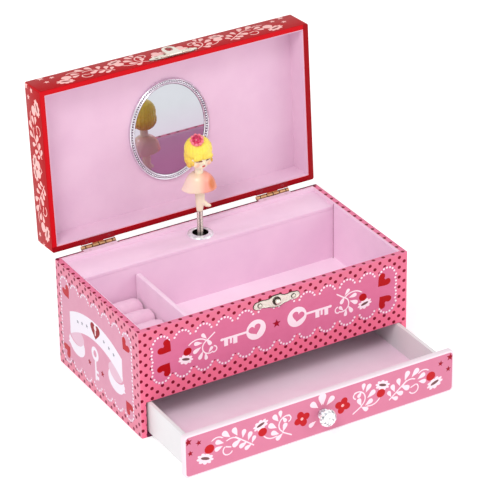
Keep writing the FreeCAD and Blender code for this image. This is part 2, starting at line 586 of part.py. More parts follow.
def knob():
    """Turned ferrule, faceted crystal and the screw that clamps them to the drawer front."""
    face = DRAWER_FACE_BACK - DRAWER_FRONT_THICKNESS
    ferrule = turned([(0, 0), (FERRULE_RADIUS, 0), (FERRULE_RADIUS, FERRULE_EDGE),
                      (STEM_RADIUS, 2 * FERRULE_EDGE), (STEM_RADIUS, KNOB_NECK), (0, KNOB_NECK)], (0, 0, 0))
    rings = [(0.42, KNOB_NECK), (1.0, KNOB_GIRDLE), (0.86, KNOB_SHOULDER), (0.5, KNOB_REACH)]
    outlines = []
    for i, (share, height) in enumerate(rings):
        turn = math.pi / KNOB_FACETS * (i % 2)
        corners = [V(KNOB_RADIUS * share * math.cos(turn + k * 2 * math.pi / KNOB_FACETS),
                     KNOB_RADIUS * share * math.sin(turn + k * 2 * math.pi / KNOB_FACETS), height)
                   for k in range(KNOB_FACETS)]
        outlines.append(corners)
    crystal = faceted(outlines)
    thread = rod(KNOB_SCREW_RADIUS, (0, 0, -DRAWER_FRONT_THICKNESS), Z_AXIS,
                 DRAWER_FRONT_THICKNESS + KNOB_THREAD_REACH)
    head = rod(KNOB_SCREW_HEAD, (0, 0, -DRAWER_FRONT_THICKNESS - KNOB_SCREW_HEAD_HEIGHT), Z_AXIS,
               KNOB_SCREW_HEAD_HEIGHT)
    pieces = {"knob_ferrule": ferrule.cut(thread), "crystal_knob": crystal.cut(thread),
              "knob_screw": thread.fuse(head).removeSplitter()}
    for solid in pieces.values():
        solid.rotate(V(0, 0, 0), X_AXIS, 90)
        solid.translate(V(0, face, KNOB_Z))
    return {name: [solid] for name, solid in pieces.items()}


def faceted(outlines):
    """Closed solid of flat triangles through rings of corners, each ring half a facet on."""
    faces = [Part.Face(Part.makePolygon(outlines[0] + outlines[0][:1])),
             Part.Face(Part.makePolygon(outlines[-1] + outlines[-1][:1]))]
    count = len(outlines[0])
    for level in range(len(outlines) - 1):
        low, high = outlines[level], outlines[level + 1]
        for k in range(count):
            after = (k + 1) % count
            if level % 2 == 0:
                corner_sets = ((low[k], low[after], high[k]), (low[after], high[after], high[k]))
            else:
                corner_sets = ((low[k], low[after], high[after]), (low[k], high[after], high[k]))
            for corners in corner_sets:
                faces.append(Part.Face(Part.makePolygon(list(corners) + [corners[0]])))
    return Part.makeSolid(Part.makeShell(faces))


def grommet():
    """Flanged chrome ring that guides the pole through the shelf."""
    flange = tube(GROMMET_RADIUS, GROMMET_BORE, (0, SPINDLE_Y, SHELF_TOP), Z_AXIS, GROMMET_FLANGE)
    rim = [e for e in flange.Edges if e.BoundBox.ZMin > SHELF_TOP + GROMMET_FLANGE - 0.01]
    flange = flange.makeFillet(GROMMET_FLANGE * 0.6, rim)
    sleeve = tube(GROMMET_TUBE, GROMMET_BORE, (0, SPINDLE_Y, SHELF_BOTTOM), Z_AXIS, SHELF_THICKNESS)
    return {"spindle_grommet": [fused([flange, sleeve])]}


def doll():
    """Pole with its bending point just above the grommet, and the moulded dancer on its tip."""
    leg_z = SHELF_TOP + LEG_BASE_RISE
    hem_z = SHELF_TOP + HEM_RISE
    waist_z = SHELF_TOP + WAIST_RISE
    pole = fused([rod(POLE_RADIUS, (-POLE_RADIUS, SPINDLE_Y, PIVOT_Z), X_AXIS, 2 * POLE_RADIUS),
                  rod(POLE_RADIUS, (0, SPINDLE_Y, PIVOT_Z), Z_AXIS, leg_z - PIVOT_GAP - PIVOT_Z),
                  rod(POLE_PIN_RADIUS, (0, SPINDLE_Y, PIVOT_Z), Z_AXIS, leg_z - PIVOT_Z + POLE_PIN_LENGTH)])
    standing = Part.makeCone(LEG_FOOT_RADIUS, LEG_TOP_RADIUS, hem_z + 4 - leg_z, V(0, SPINDLE_Y, leg_z))
    knee = (KNEE_SIDE, SPINDLE_Y - KNEE_FORWARD, hem_z - KNEE_DROP)
    thigh = Part.makeCone(KNEE_RADIUS, THIGH_RADIUS, KNEE_DROP + 3.5, V(*knee))
    shin = Part.makeCone(KNEE_RADIUS, TOE_RADIUS, SHIN_LENGTH, V(*knee), V(0.9, -0.25, -0.5))
    socket = rod(POLE_PIN_RADIUS + RUNNING_CLEARANCE, (0, SPINDLE_Y, leg_z - 1), Z_AXIS,
                 POLE_PIN_LENGTH + 1.3)
    legs = fused([standing, thigh, ball(KNEE_RADIUS, knee), shin]).cut(socket)
    bodice = WAIST_RISE - HEM_RISE
    bell = [(HEM_RADIUS, 0), (HEM_RADIUS, 0.8), (HEM_RADIUS * 0.9, 4.0), (HEM_RADIUS * 0.62, 8.5),
            (HEM_RADIUS * 0.42, bodice - 1.0), (0, bodice)]
    inside = [(0, 4.0), (LEG_TOP_RADIUS + 2.6, 4.0), (HEM_RADIUS - DRESS_WALL, 0)]
    dress = turned([(HEM_RADIUS - DRESS_WALL, 0)] + bell + inside[:2], (0, SPINDLE_Y, hem_z))
    arms = [Part.makeCone(SHOULDER_RADIUS, WRIST_RADIUS, ARM_LENGTH,
                          V(side * SHOULDER_SIDE, SPINDLE_Y, waist_z - SHOULDER_DROP),
                          V(side * 0.62, -0.25, -0.8)) for side in (-1, 1)]
    dress = fused([dress] + arms)
    head_z = SHELF_TOP + HEAD_RISE
    head = fused([ball(HEAD_RADIUS, (0, SPINDLE_Y, head_z)),
                  rod(NECK_RADIUS, (0, SPINDLE_Y, waist_z), Z_AXIS, HEAD_RISE - WAIST_RISE)])
    dress = dress.cut([rod(NECK_RADIUS, (0, SPINDLE_Y, waist_z), Z_AXIS, 2), legs])
    hair_z = SHELF_TOP + HAIR_RISE
    nape = ball(HAIR_RADIUS - 0.1, (0, SPINDLE_Y + 0.4, head_z + 1.5))
    cap = ball(HAIR_RADIUS, (0, SPINDLE_Y, hair_z)).fuse(nape)
    opening = (-FACE_OPENING / 2, FACE_OPENING / 2)
    face_cut = block(opening, (SPINDLE_Y - HAIR_RADIUS - 2, SPINDLE_Y - 3),
                     (hair_z - FACE_OPENING, head_z + 2))
    under_cut = block(opening, (SPINDLE_Y - 4, SPINDLE_Y + 3), (hair_z - FACE_OPENING, head_z - 5))
    curls = [ball(CURL_RADIUS, (side * CURL_SIDE, SPINDLE_Y + 0.5, hair_z - CURL_DROP)) for side in (-1, 1)]
    hair = fused([cap.cut([face_cut, under_cut])] + curls).cut(head)
    crown_y, crown_z = SPINDLE_Y - HAIR_RADIUS * 0.62, hair_z + HAIR_RADIUS * 0.72
    bun = turned([(0, 0), (CROWN_RADIUS - 1.2, 0), (CROWN_RADIUS, 1.6), (CROWN_RADIUS - 1, 3.4),
                  (CROWN_RADIUS - 2.8, CROWN_HEIGHT), (0, CROWN_HEIGHT)], (0, 0, 0))
    bun.rotate(V(0, 0, 0), X_AXIS, CROWN_TILT)
    bun.translate(V(0, crown_y, crown_z))
    return {"pole_spring": [pole], "doll_legs": [legs], "doll_dress": [dress], "doll_head": [head],
            "doll_hair": [hair], "doll_crown": [bun.cut(hair)]}


def movement_frame():
    """Bedplate on the case's back board, U-shaped bearing frame, comb, comb base and screws."""
    plate_z = (DECK_TOP + 1.0, SHELF_BOTTOM - 1.0)
    bed = block((-BEDPLATE_WIDTH / 2, BEDPLATE_WIDTH / 2), (BED_FRONT, INNER_BACK), plate_z)
    bed = bed.cut([rod(WINDING_RADIUS + RUNNING_CLEARANCE, (0, BED_FRONT - 1, BARREL_Z), Y_AXIS, 4)]
                  + [screw_hole(p, d, BED_SCREW_LENGTH) for p, d in BED_SCREWS])
    reach = (SPINDLE_Y - 9.5, BED_FRONT)
    span = (-7.5, FLY_X + 3.0)
    upper = block(span, reach, (UPPER_PLATE, UPPER_PLATE + FRAME_PLATE))
    lower = block(span, reach, (LOWER_PLATE, LOWER_PLATE + FRAME_PLATE))
    web = block(span, (BED_FRONT - FRAME_PLATE, BED_FRONT), (LOWER_PLATE, UPPER_PLATE + FRAME_PLATE))
    bearings = [rod(radius + RUNNING_CLEARANCE, (x, y, LOWER_PLATE - 1), Z_AXIS, SHELF_BOTTOM - LOWER_PLATE)
                for radius, x, y in ((ARBOR_RADIUS, 0, SPINDLE_Y),
                                     (GOVERNOR_SHAFT_RADIUS, GOVERNOR_X, GOVERNOR_Y),
                                     (FLY_SHAFT_RADIUS, FLY_X, GOVERNOR_Y))]
    frame = fused([upper, lower, web]).cut(bearings)
    drum_low, drum_high = LOWER_PLATE + FRAME_PLATE + DRUM_END_GAP, TRAIN_Z - DRUM_END_GAP
    heel_x = (-BEDPLATE_WIDTH / 2, -BEDPLATE_WIDTH / 2 + 8.0)
    tooth_tip = -(DRUM_RADIUS + PIN_HEIGHT + 0.25)
    comb_y = (SPINDLE_Y - 0.4, SPINDLE_Y + 0.4)
    comb = block((heel_x[0], tooth_tip), comb_y, (drum_low, drum_high))
    pitch = (drum_high - drum_low) / TINE_COUNT
    slits = [block((heel_x[1] + 1.5, tooth_tip + 1), (comb_y[0] - 1, comb_y[1] + 1),
                   (drum_low + i * pitch - 0.1, drum_low + i * pitch + 0.1)) for i in range(1, TINE_COUNT)]
    comb_spots = [((sum(heel_x) / 2, comb_y[0], z), Y_AXIS) for z in (drum_low + 2.2, drum_high - 2.2)]
    heel = block(heel_x, (comb_y[1], BED_FRONT), (drum_low, drum_high))
    holes = [screw_hole(p, d, 4) for p, d in comb_spots]
    fixings = [wood_screw(p, d, BED_SCREW_LENGTH) for p, d in BED_SCREWS]
    fixings += [wood_screw(p, d, 4) for p, d in comb_spots]
    return {"movement_bedplate": [bed], "cylinder_frame": [frame], "music_comb": [comb.cut(slits + holes)],
            "comb_base": [heel.cut(holes)], "movement_screws": fixings}


def barrel():
    """Spring barrel with face teeth, its cover, the coiled mainspring, arbor and key."""
    cup = rod(BARREL_RADIUS, (0, BARREL_FRONT, BARREL_Z), Y_AXIS, BARREL_LENGTH)
    hollow = rod(BARREL_RADIUS - BARREL_WALL, (0, BARREL_FRONT + BARREL_WALL, BARREL_Z), Y_AXIS,
                 BARREL_LENGTH)
    pivot = rod(BARREL_PIVOT_RADIUS + RUNNING_CLEARANCE, (0, BARREL_FRONT - 1, BARREL_Z), Y_AXIS, 4)
    teeth = []
    for i in range(FACE_TEETH):
        tooth = block((-FACE_TOOTH_WIDTH / 2, FACE_TOOTH_WIDTH / 2),
                      (BARREL_FRONT - FACE_TOOTH_HEIGHT, BARREL_FRONT + 0.5),
                      (BARREL_Z + FACE_PITCH_RADIUS - 0.9, BARREL_Z + FACE_PITCH_RADIUS + 0.8))
        tooth.rotate(V(0, 0, BARREL_Z), Y_AXIS, (i + 0.5) * 360 / FACE_TEETH)
        teeth.append(tooth)
    cup = fused([cup] + teeth).cut([hollow, pivot])
    cover = tube(BARREL_RADIUS - BARREL_WALL, WINDING_RADIUS + RUNNING_CLEARANCE,
                 (0, BARREL_BACK - 0.8, BARREL_Z), Y_AXIS, 0.8)
    arbor = fused([rod(BARREL_PIVOT_RADIUS, (0, BARREL_FRONT, BARREL_Z), Y_AXIS, 3),
                   rod(SPRING_CORE_RADIUS, (0, BARREL_FRONT + BARREL_WALL + 0.1, BARREL_Z), Y_AXIS,
                       BARREL_LENGTH - BARREL_WALL - 1.2),
                   rod(WINDING_RADIUS, (0, BARREL_FRONT + 2, BARREL_Z), Y_AXIS,
                       HALF_DEPTH + KEY_REACH - 5 - BARREL_FRONT - 2)])
    return {"spring_barrel": [cup, cover], "mainspring": [mainspring()], "winding_arbor": [arbor],
            "winding_key": [winding_key()]}


def mainspring():
    """Flat strip wound in a spiral from the arbor to the barrel wall."""
    turns, steps = SPRING_TURNS, 20
    start, end, half = SPRING_CORE_RADIUS + 0.4, BARREL_RADIUS - BARREL_WALL - 0.5, SPRING_STRIP / 2
    outer, inner = [], []
    for i in range(turns * steps + 1):
        angle = 2 * math.pi * i / steps
        radius = start + (end - start) * i / (turns * steps)
        outer.append(V((radius + half) * math.cos(angle), 0, (radius + half) * math.sin(angle)))
        inner.append(V((radius - half) * math.cos(angle), 0, (radius - half) * math.sin(angle)))
    outline = outer + inner[::-1]
    strip = Part.Face(Part.makePolygon(outline + outline[:1])).extrude(V(0, BARREL_LENGTH - 3.0, 0))
    strip.translate(V(0, BARREL_FRONT + BARREL_WALL + 0.5, BARREL_Z))
    return strip


def winding_key():
    """Flat two-lobed key on a round hub behind the case."""
    hub_start, key_end = HALF_DEPTH + KEY_STAND_OFF, HALF_DEPTH + KEY_REACH
    hub = rod(KEY_HUB_RADIUS, (0, hub_start, BARREL_Z), Y_AXIS, KEY_REACH - 2 * KEY_STAND_OFF)
    lobe_x, lobe_y = KEY_SPAN / 2 - KEY_LOBE_RADIUS, (key_end - KEY_WIDTH, key_end)
    low, high = BARREL_Z - KEY_THICKNESS / 2, BARREL_Z + KEY_THICKNESS / 2
    bar = block((-lobe_x, lobe_x), lobe_y, (low, high))
    lobes = [rod(KEY_LOBE_RADIUS, (side * lobe_x, sum(lobe_y) / 2, low), Z_AXIS, KEY_THICKNESS)
             for side in (-1, 1)]
    socket = rod(WINDING_RADIUS, (0, hub_start - 1, BARREL_Z), Y_AXIS, KEY_REACH - 3 * KEY_STAND_OFF)
    return fused([hub, bar] + lobes).cut(socket)


def cylinder():
    """Pinned drum with its wheel, on the arbor that also drives the doll."""
    drum_low, drum_high = LOWER_PLATE + FRAME_PLATE + DRUM_END_GAP, TRAIN_Z - DRUM_END_GAP
    drum = rod(DRUM_RADIUS, (0, 0, drum_low), Z_AXIS, drum_high - drum_low)
    wheel = spur_gear(WHEEL_TEETH, WHEEL_MODULE, TRAIN_Z, WHEEL_FACE, GOVERNOR_BEARING_ANGLE)
    neck = rod(3.0, (0, 0, drum_low), Z_AXIS, TRAIN_Z - drum_low + 0.5)
    pitch = (drum_high - drum_low) / TINE_COUNT
    pins = []
    for track in range(TINE_COUNT):
        for note in range(NOTES_PER_TRACK):
            angle = math.radians((track * 47 + note * 163) % 360)
            base = (DRUM_RADIUS - 0.5) * math.cos(angle), (DRUM_RADIUS - 0.5) * math.sin(angle)
            pins.append(rod(PIN_WIRE_RADIUS, (base[0], base[1], drum_low + (track + 0.5) * pitch),
                            V(math.cos(angle), math.sin(angle), 0), 0.5 + PIN_HEIGHT))
    bore = rod(ARBOR_RADIUS, (0, 0, drum_low - 1), Z_AXIS, SHELF_TOP - drum_low)
    drum = fused([drum, neck, wheel] + pins).cut(bore)
    pinion_z = MESH_Z - PINION_HEIGHT / 2
    pinion = face_pinion(pinion_z)
    stub_top = PIVOT_Z - POLE_RADIUS - PIVOT_GAP
    stub_low = UPPER_PLATE + FRAME_PLATE + 0.3
    arbor = fused([pinion, rod(ARBOR_RADIUS, (0, 0, pinion_z), Z_AXIS, stub_low + 1 - pinion_z),
                   rod(POLE_RADIUS, (0, 0, stub_low), Z_AXIS, stub_top - stub_low)])
    for solid in (drum, arbor):
        solid.translate(V(0, SPINDLE_Y, 0))
    return {"pinned_cylinder": [drum], "drive_spindle": [arbor]}


def face_pinion(z_low):
    """Slim-toothed pinion that runs in the barrel's face teeth, one tooth pointing at the barrel."""
    points = []
    step = 2 * math.pi / PINION_TEETH
    root, tip = PINION_PITCH - 0.62 * PINION_SCALE, PINION_PITCH + 0.45 * PINION_SCALE
    wide, narrow = 0.42 * PINION_SCALE, 0.2 * PINION_SCALE
    for i in range(PINION_TEETH):
        middle = math.pi / 2 + i * step
        for radius, half in ((root, wide), (tip, narrow), (tip, -narrow), (root, -wide)):
            angle = middle - half / radius
            points.append(V(radius * math.cos(angle), radius * math.sin(angle), z_low))
    return Part.Face(Part.makePolygon(points + points[:1])).extrude(V(0, 0, PINION_HEIGHT))


def governor():
    """Governor wheel and the fly, an air brake on the last arbor."""
    wheel_z = LOWER_PLATE - 3.2
    half_step = 180.0 / GOVERNOR_PINION_TEETH
    toward_drum = GOVERNOR_BEARING_ANGLE + 180.0
    pinion = spur_gear(GOVERNOR_PINION_TEETH, WHEEL_MODULE, TRAIN_Z, WHEEL_FACE, toward_drum + half_step)
    wheel = spur_gear(FLY_WHEEL_TEETH, FLY_MODULE, wheel_z, 1.5)
    shaft = rod(GOVERNOR_SHAFT_RADIUS, (0, 0, wheel_z), Z_AXIS, UPPER_PLATE + FRAME_PLATE - wheel_z)
    train = fused([pinion, wheel, shaft])
    train.translate(V(GOVERNOR_X, GOVERNOR_Y, 0))
    fly_pinion = spur_gear(FLY_PINION_TEETH, FLY_MODULE, wheel_z, 1.5, 180.0 / FLY_PINION_TEETH)
    fly_shaft = rod(FLY_SHAFT_RADIUS, (0, 0, wheel_z), Z_AXIS, UPPER_PLATE + FRAME_PLATE - wheel_z)
    blade_z = (LOWER_PLATE + FRAME_PLATE + 0.8, TRAIN_Z - 0.8)
    blades = block((-FAN_RADIUS, FAN_RADIUS), (-FAN_THICKNESS / 2, FAN_THICKNESS / 2), blade_z)
    fly = fused([fly_pinion, fly_shaft, blades])
    fly.translate(V(FLY_X, GOVERNOR_Y, 0))
    return {"governor_wheel": [train], "governor_fly": [fly]}


os.makedirs("parts", exist_ok=True)
for build in (case_boards, drawer_bay, tray, hinges, lid, latch, screws, drawer, grommet, doll,
              movement_frame, barrel, cylinder, governor):
    for node, node_solids in build().items():
        save(node, node_solids)
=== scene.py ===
import math
import random

import bmesh
import bpy
from mathutils import Matrix, Vector


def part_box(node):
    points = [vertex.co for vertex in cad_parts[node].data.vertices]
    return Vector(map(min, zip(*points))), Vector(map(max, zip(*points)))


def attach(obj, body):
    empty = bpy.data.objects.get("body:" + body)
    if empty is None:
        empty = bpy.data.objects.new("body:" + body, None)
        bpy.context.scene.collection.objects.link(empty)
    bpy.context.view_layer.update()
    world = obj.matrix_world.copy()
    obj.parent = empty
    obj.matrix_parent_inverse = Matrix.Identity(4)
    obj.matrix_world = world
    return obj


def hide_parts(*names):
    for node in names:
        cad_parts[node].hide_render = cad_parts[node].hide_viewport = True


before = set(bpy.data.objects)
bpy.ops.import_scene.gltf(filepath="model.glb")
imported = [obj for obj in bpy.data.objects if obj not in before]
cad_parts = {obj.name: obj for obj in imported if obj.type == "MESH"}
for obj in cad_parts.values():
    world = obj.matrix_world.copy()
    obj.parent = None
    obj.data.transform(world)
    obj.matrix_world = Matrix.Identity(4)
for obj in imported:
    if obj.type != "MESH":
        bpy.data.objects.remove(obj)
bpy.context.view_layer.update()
random.seed(7)


# ---------------------------------------------------------------- the wrapped case
# The case is greyboard, wrapped in satin paper printed with dots, a scalloped panel and keys, and
# folded over the rims. The front's pinks change towards the bottom, the side panels are painted
# paler than the front's as painted light from the left, dark dashes run along the back rim, and
# the inside faces below the deck are painted dark maroon as painted shade in the drawer bay.
class Wire:
    """A value in a material, in millimetres or as a colour, that takes + - * / like a number."""

    def __init__(self, tree, socket):
        self.tree, self.socket = tree, socket

    def node(self, kind, settings, inputs, output=0):
        made = self.tree.nodes.new("ShaderNode" + kind)
        for name, value in settings.items():
            setattr(made, name, value)
        for key, value in inputs.items():
            if isinstance(value, Wire):
                self.tree.links.new(value.socket, made.inputs[key])
            else:
                made.inputs[key].default_value = value
        return Wire(self.tree, made.outputs[output])

    def maths(self, operation, *values):
        return self.node("Math", {"operation": operation}, dict(enumerate(values)))

    def __add__(self, other):
        return self.maths("ADD", self, other)

    def __sub__(self, other):
        return self.maths("SUBTRACT", self, other)

    def __rsub__(self, other):
        return self.maths("SUBTRACT", other, self)

    def __mul__(self, other):
        return self.maths("MULTIPLY", self, other)

    def __truediv__(self, other):
        return self.maths("DIVIDE", self, other)

    def __lt__(self, other):
        return self.maths("LESS_THAN", self, other)

    def __gt__(self, other):
        return self.maths("GREATER_THAN", self, other)

    def __or__(self, other):
        return self.maths("MAXIMUM", self, other)

    def __and__(self, other):
        return self.maths("MINIMUM", self, other)

    def __abs__(self):
        return self.maths("ABSOLUTE", self)

    def sine(self):
        return self.maths("SINE", self)

    def length(self):
        return self.node("VectorMath", {"operation": "LENGTH"}, {0: self}, output=1)

    def xyz(self):
        split = self.tree.nodes.new("ShaderNodeSeparateXYZ")
        self.tree.links.new(self.socket, split.inputs[0])
        return [Wire(self.tree, socket) for socket in split.outputs]

    def flat(self, across, up):
        """A point of a printed sheet from its two coordinates."""
        return self.node("CombineXYZ", {}, {0: across, 1: up})

    def noise(self, size, detail=3.0, roughness=0.55):
        """Cloudy variation from 0 to 1 whose lumps are about size across."""
        return self.node("TexNoise", {}, {"Vector": self, "Scale": 1.0 / size, "Detail": detail,
                                          "Roughness": roughness})

    def ramp(self, low, high, to_low=0.0, to_high=1.0):
        return self.node("MapRange", {}, {0: self, 1: low, 2: high, 3: to_low, 4: to_high})

    def between(self, first, second):
        """Number that goes from first to second as this value goes from 0 to 1."""
        return self.node("Mix", {"data_type": "FLOAT"}, {0: self, 2: first, 3: second})

    def blend(self, first, second):
        """Colour that goes from first to second as this value goes from 0 to 1."""
        return self.node("Mix", {"data_type": "RGBA"}, {0: self, 6: first, 7: second}, output=2)


def ink(red, green, blue):
    """Printed colour, given as display values, for a shader socket."""
    linear = [((c / 255 + 0.055) / 1.055) ** 2.4 if c > 10 else c / 255 / 12.92 for c in (red, green, blue)]
    return (*linear, 1.0)


def finish(name, **fixed):
    """A new material with fixed shader values, and a point on the surface in millimetres."""
    material = bpy.data.materials.new(name)
    material.use_nodes = True
    shader = material.node_tree.nodes["Principled BSDF"]
    for socket, value in fixed.items():
        shader.inputs[socket.replace("_", " ")].default_value = value
    place = material.node_tree.nodes.new("ShaderNodeTexCoord")
    metres = Wire(material.node_tree, place.outputs["Object"])
    return material, metres.node("VectorMath", {"operation": "SCALE"}, {0: metres, 3: 1000.0})


def paint(material, depth=0.0, height=None, **wires):
    """Joins worked-out values to the shader; height is a relief of depth millimetres."""
    tree = material.node_tree
    shader = tree.nodes["Principled BSDF"]
    for socket, wire in wires.items():
        tree.links.new(wire.socket, shader.inputs[socket.replace("_", " ")])
    if height:
        relief = height.node("Bump", {}, {"Strength": 1.0, "Distance": depth / 1000, "Height": height})
        tree.links.new(relief.socket, shader.inputs["Normal"])


def placed(sheet, at, turn=0.0, size=(1.0, 1.0)):
    """The sheet seen from a motif's own centre, turn and half size."""
    return sheet.node("Mapping", {"vector_type": "TEXTURE"},
                      {"Vector": sheet, "Location": (at[0], at[1], 0.0),
                       "Rotation": (0.0, 0.0, math.radians(turn)), "Scale": (size[0], size[1], 1.0)})


def together(marks):
    whole = marks[0]
    for mark in marks[1:]:
        whole = whole | mark
    return whole


def petal(sheet, at, half_length, half_width, turn=0.0):
    return placed(sheet, at, turn, (half_length, half_width)).length() < 1.0


def leaf(sheet, base, tip, share=0.5):
    """Teardrop that broadens toward its tip; share is its width over its length."""
    along, over = tip[0] - base[0], tip[1] - base[1]
    half = math.hypot(along, over) / 2
    local = placed(sheet, ((base[0] + tip[0]) / 2, (base[1] + tip[1]) / 2),
                   math.degrees(math.atan2(over, along)),
                   (half, half * share))
    x, y, _ = local.xyz()
    return sheet.flat(x, y / (x * 0.62 + 0.74)).length() < 1.0


def leaves(sheet, pairs, share=0.5):
    return together([leaf(sheet, base, tip, share) for base, tip in pairs])


def bar(sheet, at, half_length, half_width, turn=0.0):
    x, y, _ = placed(sheet, at, turn, (half_length, half_width)).xyz()
    return (abs(x) | abs(y)) < 1.0


def stem(sheet, centre, radius, toward, half_angle, width=0.48):
    """Part of a thin ring about centre, half_angle degrees to either side of toward."""
    local = placed(sheet, centre, toward)
    x, _, _ = local.xyz()
    return (abs(local.length() - radius) < width) & (x > radius * math.cos(math.radians(half_angle)))


def heart(sheet, tip, reach, opens, share=0.52, spread=25.0):
    """Heart made of two teardrops either side of the way it opens, and a short one between them."""
    ends = [(tip[0] + reach * long * math.cos(math.radians(opens + side * spread)),
             tip[1] + reach * long * math.sin(math.radians(opens + side * spread)))
            for side, long in ((-1, 1.0), (1, 1.0), (0, 0.70))]
    return leaves(sheet, [(tip, end) for end in ends], share)


def star(sheet, at, radius, turn=18.0):
    """Five-pointed star, folded into one point and cut off by one straight edge."""
    local = placed(sheet, at, turn, (radius, radius))
    x, y, _ = local.xyz()
    angle = x.maths("WRAP", x.maths("ARCTAN2", y, x), math.pi / 5, -math.pi / 5)
    return local.length() * x.maths("COSINE", abs(angle) - 1.176) < 0.384


def blossom(sheet, at, half, turn, count=9, flat=0.64, depth=0.26):
    """Flower seen at a slant, and its long centre."""
    local = placed(sheet, at, turn, (half, half * flat))
    x, y, _ = local.xyz()
    wave = abs((x.maths("ARCTAN2", y, x) * (count / 2.0)).sine())
    return local.length() < wave * depth + (1.0 - depth), petal(local, (0.0, 0.05), 0.52, 0.27)


def key_mark(sheet, at, size=1.0):
    """Toy key lying along the sheet, with a round bow, a heart cut out of it and three bits."""
    local = placed(sheet, at, 0.0, (size, size))
    bow = (local.length() < 8.1) & (1.0 - heart(local, (-0.3, -4.0), 8.6, 74.0, 0.64, 25.0))
    return together([bow, bar(local, (18.2, 0.2), 10.8, 0.9), bar(local, (17.3, -2.8), 1.7, 3.0),
                     bar(local, (20.9, -2.2), 0.85, 2.5), bar(local, (24.9, -2.8), 1.6, 3.0),
                     petal(local, (28.2, 0.2), 1.4, 1.1)])


DOT_ACROSS, DOT_UP, BEAD, BEAD_APART, END_BEAD_APART = 8.5, 8.2, 0.86, 1.36, 1.42


def dotted(sheet, at, radius=1.38):
    """Staggered rows of round dots."""
    even = placed(sheet, at, 0.0, (DOT_ACROSS, DOT_UP))
    grid = placed(even, (0.0, 0.0), 45, (math.sqrt(0.5), math.sqrt(0.5)))
    cell = grid.node("VectorMath", {"operation": "WRAP"},
                     {0: grid, 1: (0.5, 0.5, 0.5), 2: (-0.5, -0.5, -0.5)})
    return cell.length() < radius / 5.9


def scalloped(sheet, half_width, half_height, pitch, shift, radius):
    """Panel edged with arcs of beads: its inside, and the beads."""
    across, up, _ = sheet.xyz()
    step = across.maths("WRAP", across - shift, pitch / 2, -pitch / 2)
    rise = abs(up) - half_height
    arc = sheet.flat(step, rise)
    round_angle = across.maths("ARCTAN2", rise, step) * radius
    bead = sheet.flat(arc.length() - radius, across.maths("WRAP", round_angle, BEAD_APART,
                                                          -BEAD_APART)).length() < BEAD
    over = (bead & (rise > 1.0)) & (abs(across) < half_width + 0.5)
    edge = abs(across) - half_width - abs((up * (math.pi / 8.6)).sine()) * 0.9
    end = (sheet.flat(edge, across.maths("WRAP", up, END_BEAD_APART,
                                         -END_BEAD_APART)).length() < BEAD) & (rise < 1.4)
    inside = ((rise < 1.2) | (arc.length() < radius + 1.3)) & (abs(across) < half_width + 1.6)
    return inside, over | end


def loop_sprig(sheet):
    """Looping sprig beside the keys, where it lies on the mirrored front."""
    lines = [stem(sheet, (65.4, 57.4), 10.3, 92, 46), bar(sheet, (54.2, 67.2), 4.0, 0.5, -36),
             stem(sheet, (55.7, 59.3), 5.7, -20, 100), stem(sheet, (52.3, 56.0), 2.5, 190, 100)]
    return together(lines + [leaves(sheet, (((57.8, 66.2), (61.8, 71.0)), ((61.3, 63.6), (68.2, 64.8)),
                                            ((62.3, 60.8), (69.0, 57.4)), ((61.0, 57.0), (64.4, 50.8)),
                                            ((59.2, 55.0), (58.4, 49.0)), ((58.0, 66.0), (54.4, 60.2)),
                                            ((56.8, 54.2), (53.2, 58.4))), 0.50)])


def garland(sheet):
    """Sprays, flowers and buds of the drawer's mirrored front: white, red, star and centre marks."""
    long_spray = [stem(sheet, (86.0, 20.5), 6.0, 90, 46), stem(sheet, (74.6, 14.9), 7.3, 108, 52),
                  bar(sheet, (64.0, 16.2), 9.6, 0.5, 38.4), stem(sheet, (77.6, 13.4), 3.9, -50, 104),
                  bar(sheet, (77.2, 15.8), 2.4, 0.5, 20)]
    long_leaves = (((75.6, 23.4), (81.6, 29.2)), ((80.8, 20.2), (87.4, 23.2)), ((81.6, 18.0), (88.2, 16.4)),
                   ((69.8, 22.6), (73.0, 29.8)), ((66.6, 19.0), (73.8, 14.8)), ((65.6, 19.4), (64.0, 26.0)),
                   ((61.8, 15.2), (68.4, 12.2)), ((61.2, 15.8), (58.8, 22.4)), ((58.2, 12.6), (55.6, 18.0)),
                   ((58.2, 12.0), (64.0, 9.2)))
    short_spray = [stem(sheet, (41.0, 19.6), 8.6, -73, 40), bar(sheet, (29.4, 10.8), 4.6, 0.5, 31),
                   stem(sheet, (29.4, 19.2), 6.6, 25, 88), stem(sheet, (28.6, 22.9), 2.5, 170, 92)]
    short_leaves = (((36.4, 23.2), (40.4, 29.4)), ((34.4, 25.4), (34.8, 31.4)), ((37.8, 18.2), (44.4, 22.8)),
                    ((35.8, 12.4), (42.4, 15.8)), ((32.6, 13.4), (30.2, 20.0)), ((32.8, 12.2), (38.4, 8.2)),
                    ((33.0, 25.6), (30.0, 20.9)))
    low_daisy, low_centre = blossom(sheet, (96.0, 12.2), 7.1, 20)
    high_daisy, high_centre = blossom(sheet, (50.8, 24.8), 6.4, -20)
    white = together(long_spray + short_spray + [leaves(sheet, long_leaves + short_leaves, 0.58), low_daisy,
                                                 high_daisy])
    rose, _ = blossom(sheet, (17.0, 18.7), 6.6, 24, 4, 1.0, 0.40)
    red = together([petal(sheet, (49.4, 18.6), 3.6, 3.4), petal(sheet, (92.4, 19.0), 3.9, 3.7), rose])
    stars = together([star(sheet, (109.0, 30.0), 3.2, 10), star(sheet, (100.8, 27.0), 2.5, 4),
                      star(sheet, (107.6, 20.4), 2.5, 14)])
    return white, red, stars, low_centre | high_centre


PRINT_WHITE, FLOWER_GREY = ink(246, 222, 232), ink(116, 76, 80)
DOT_MAROON, STAR_MAROON, HEART_RED = ink(120, 0, 34), ink(152, 2, 34), ink(176, 0, 12)

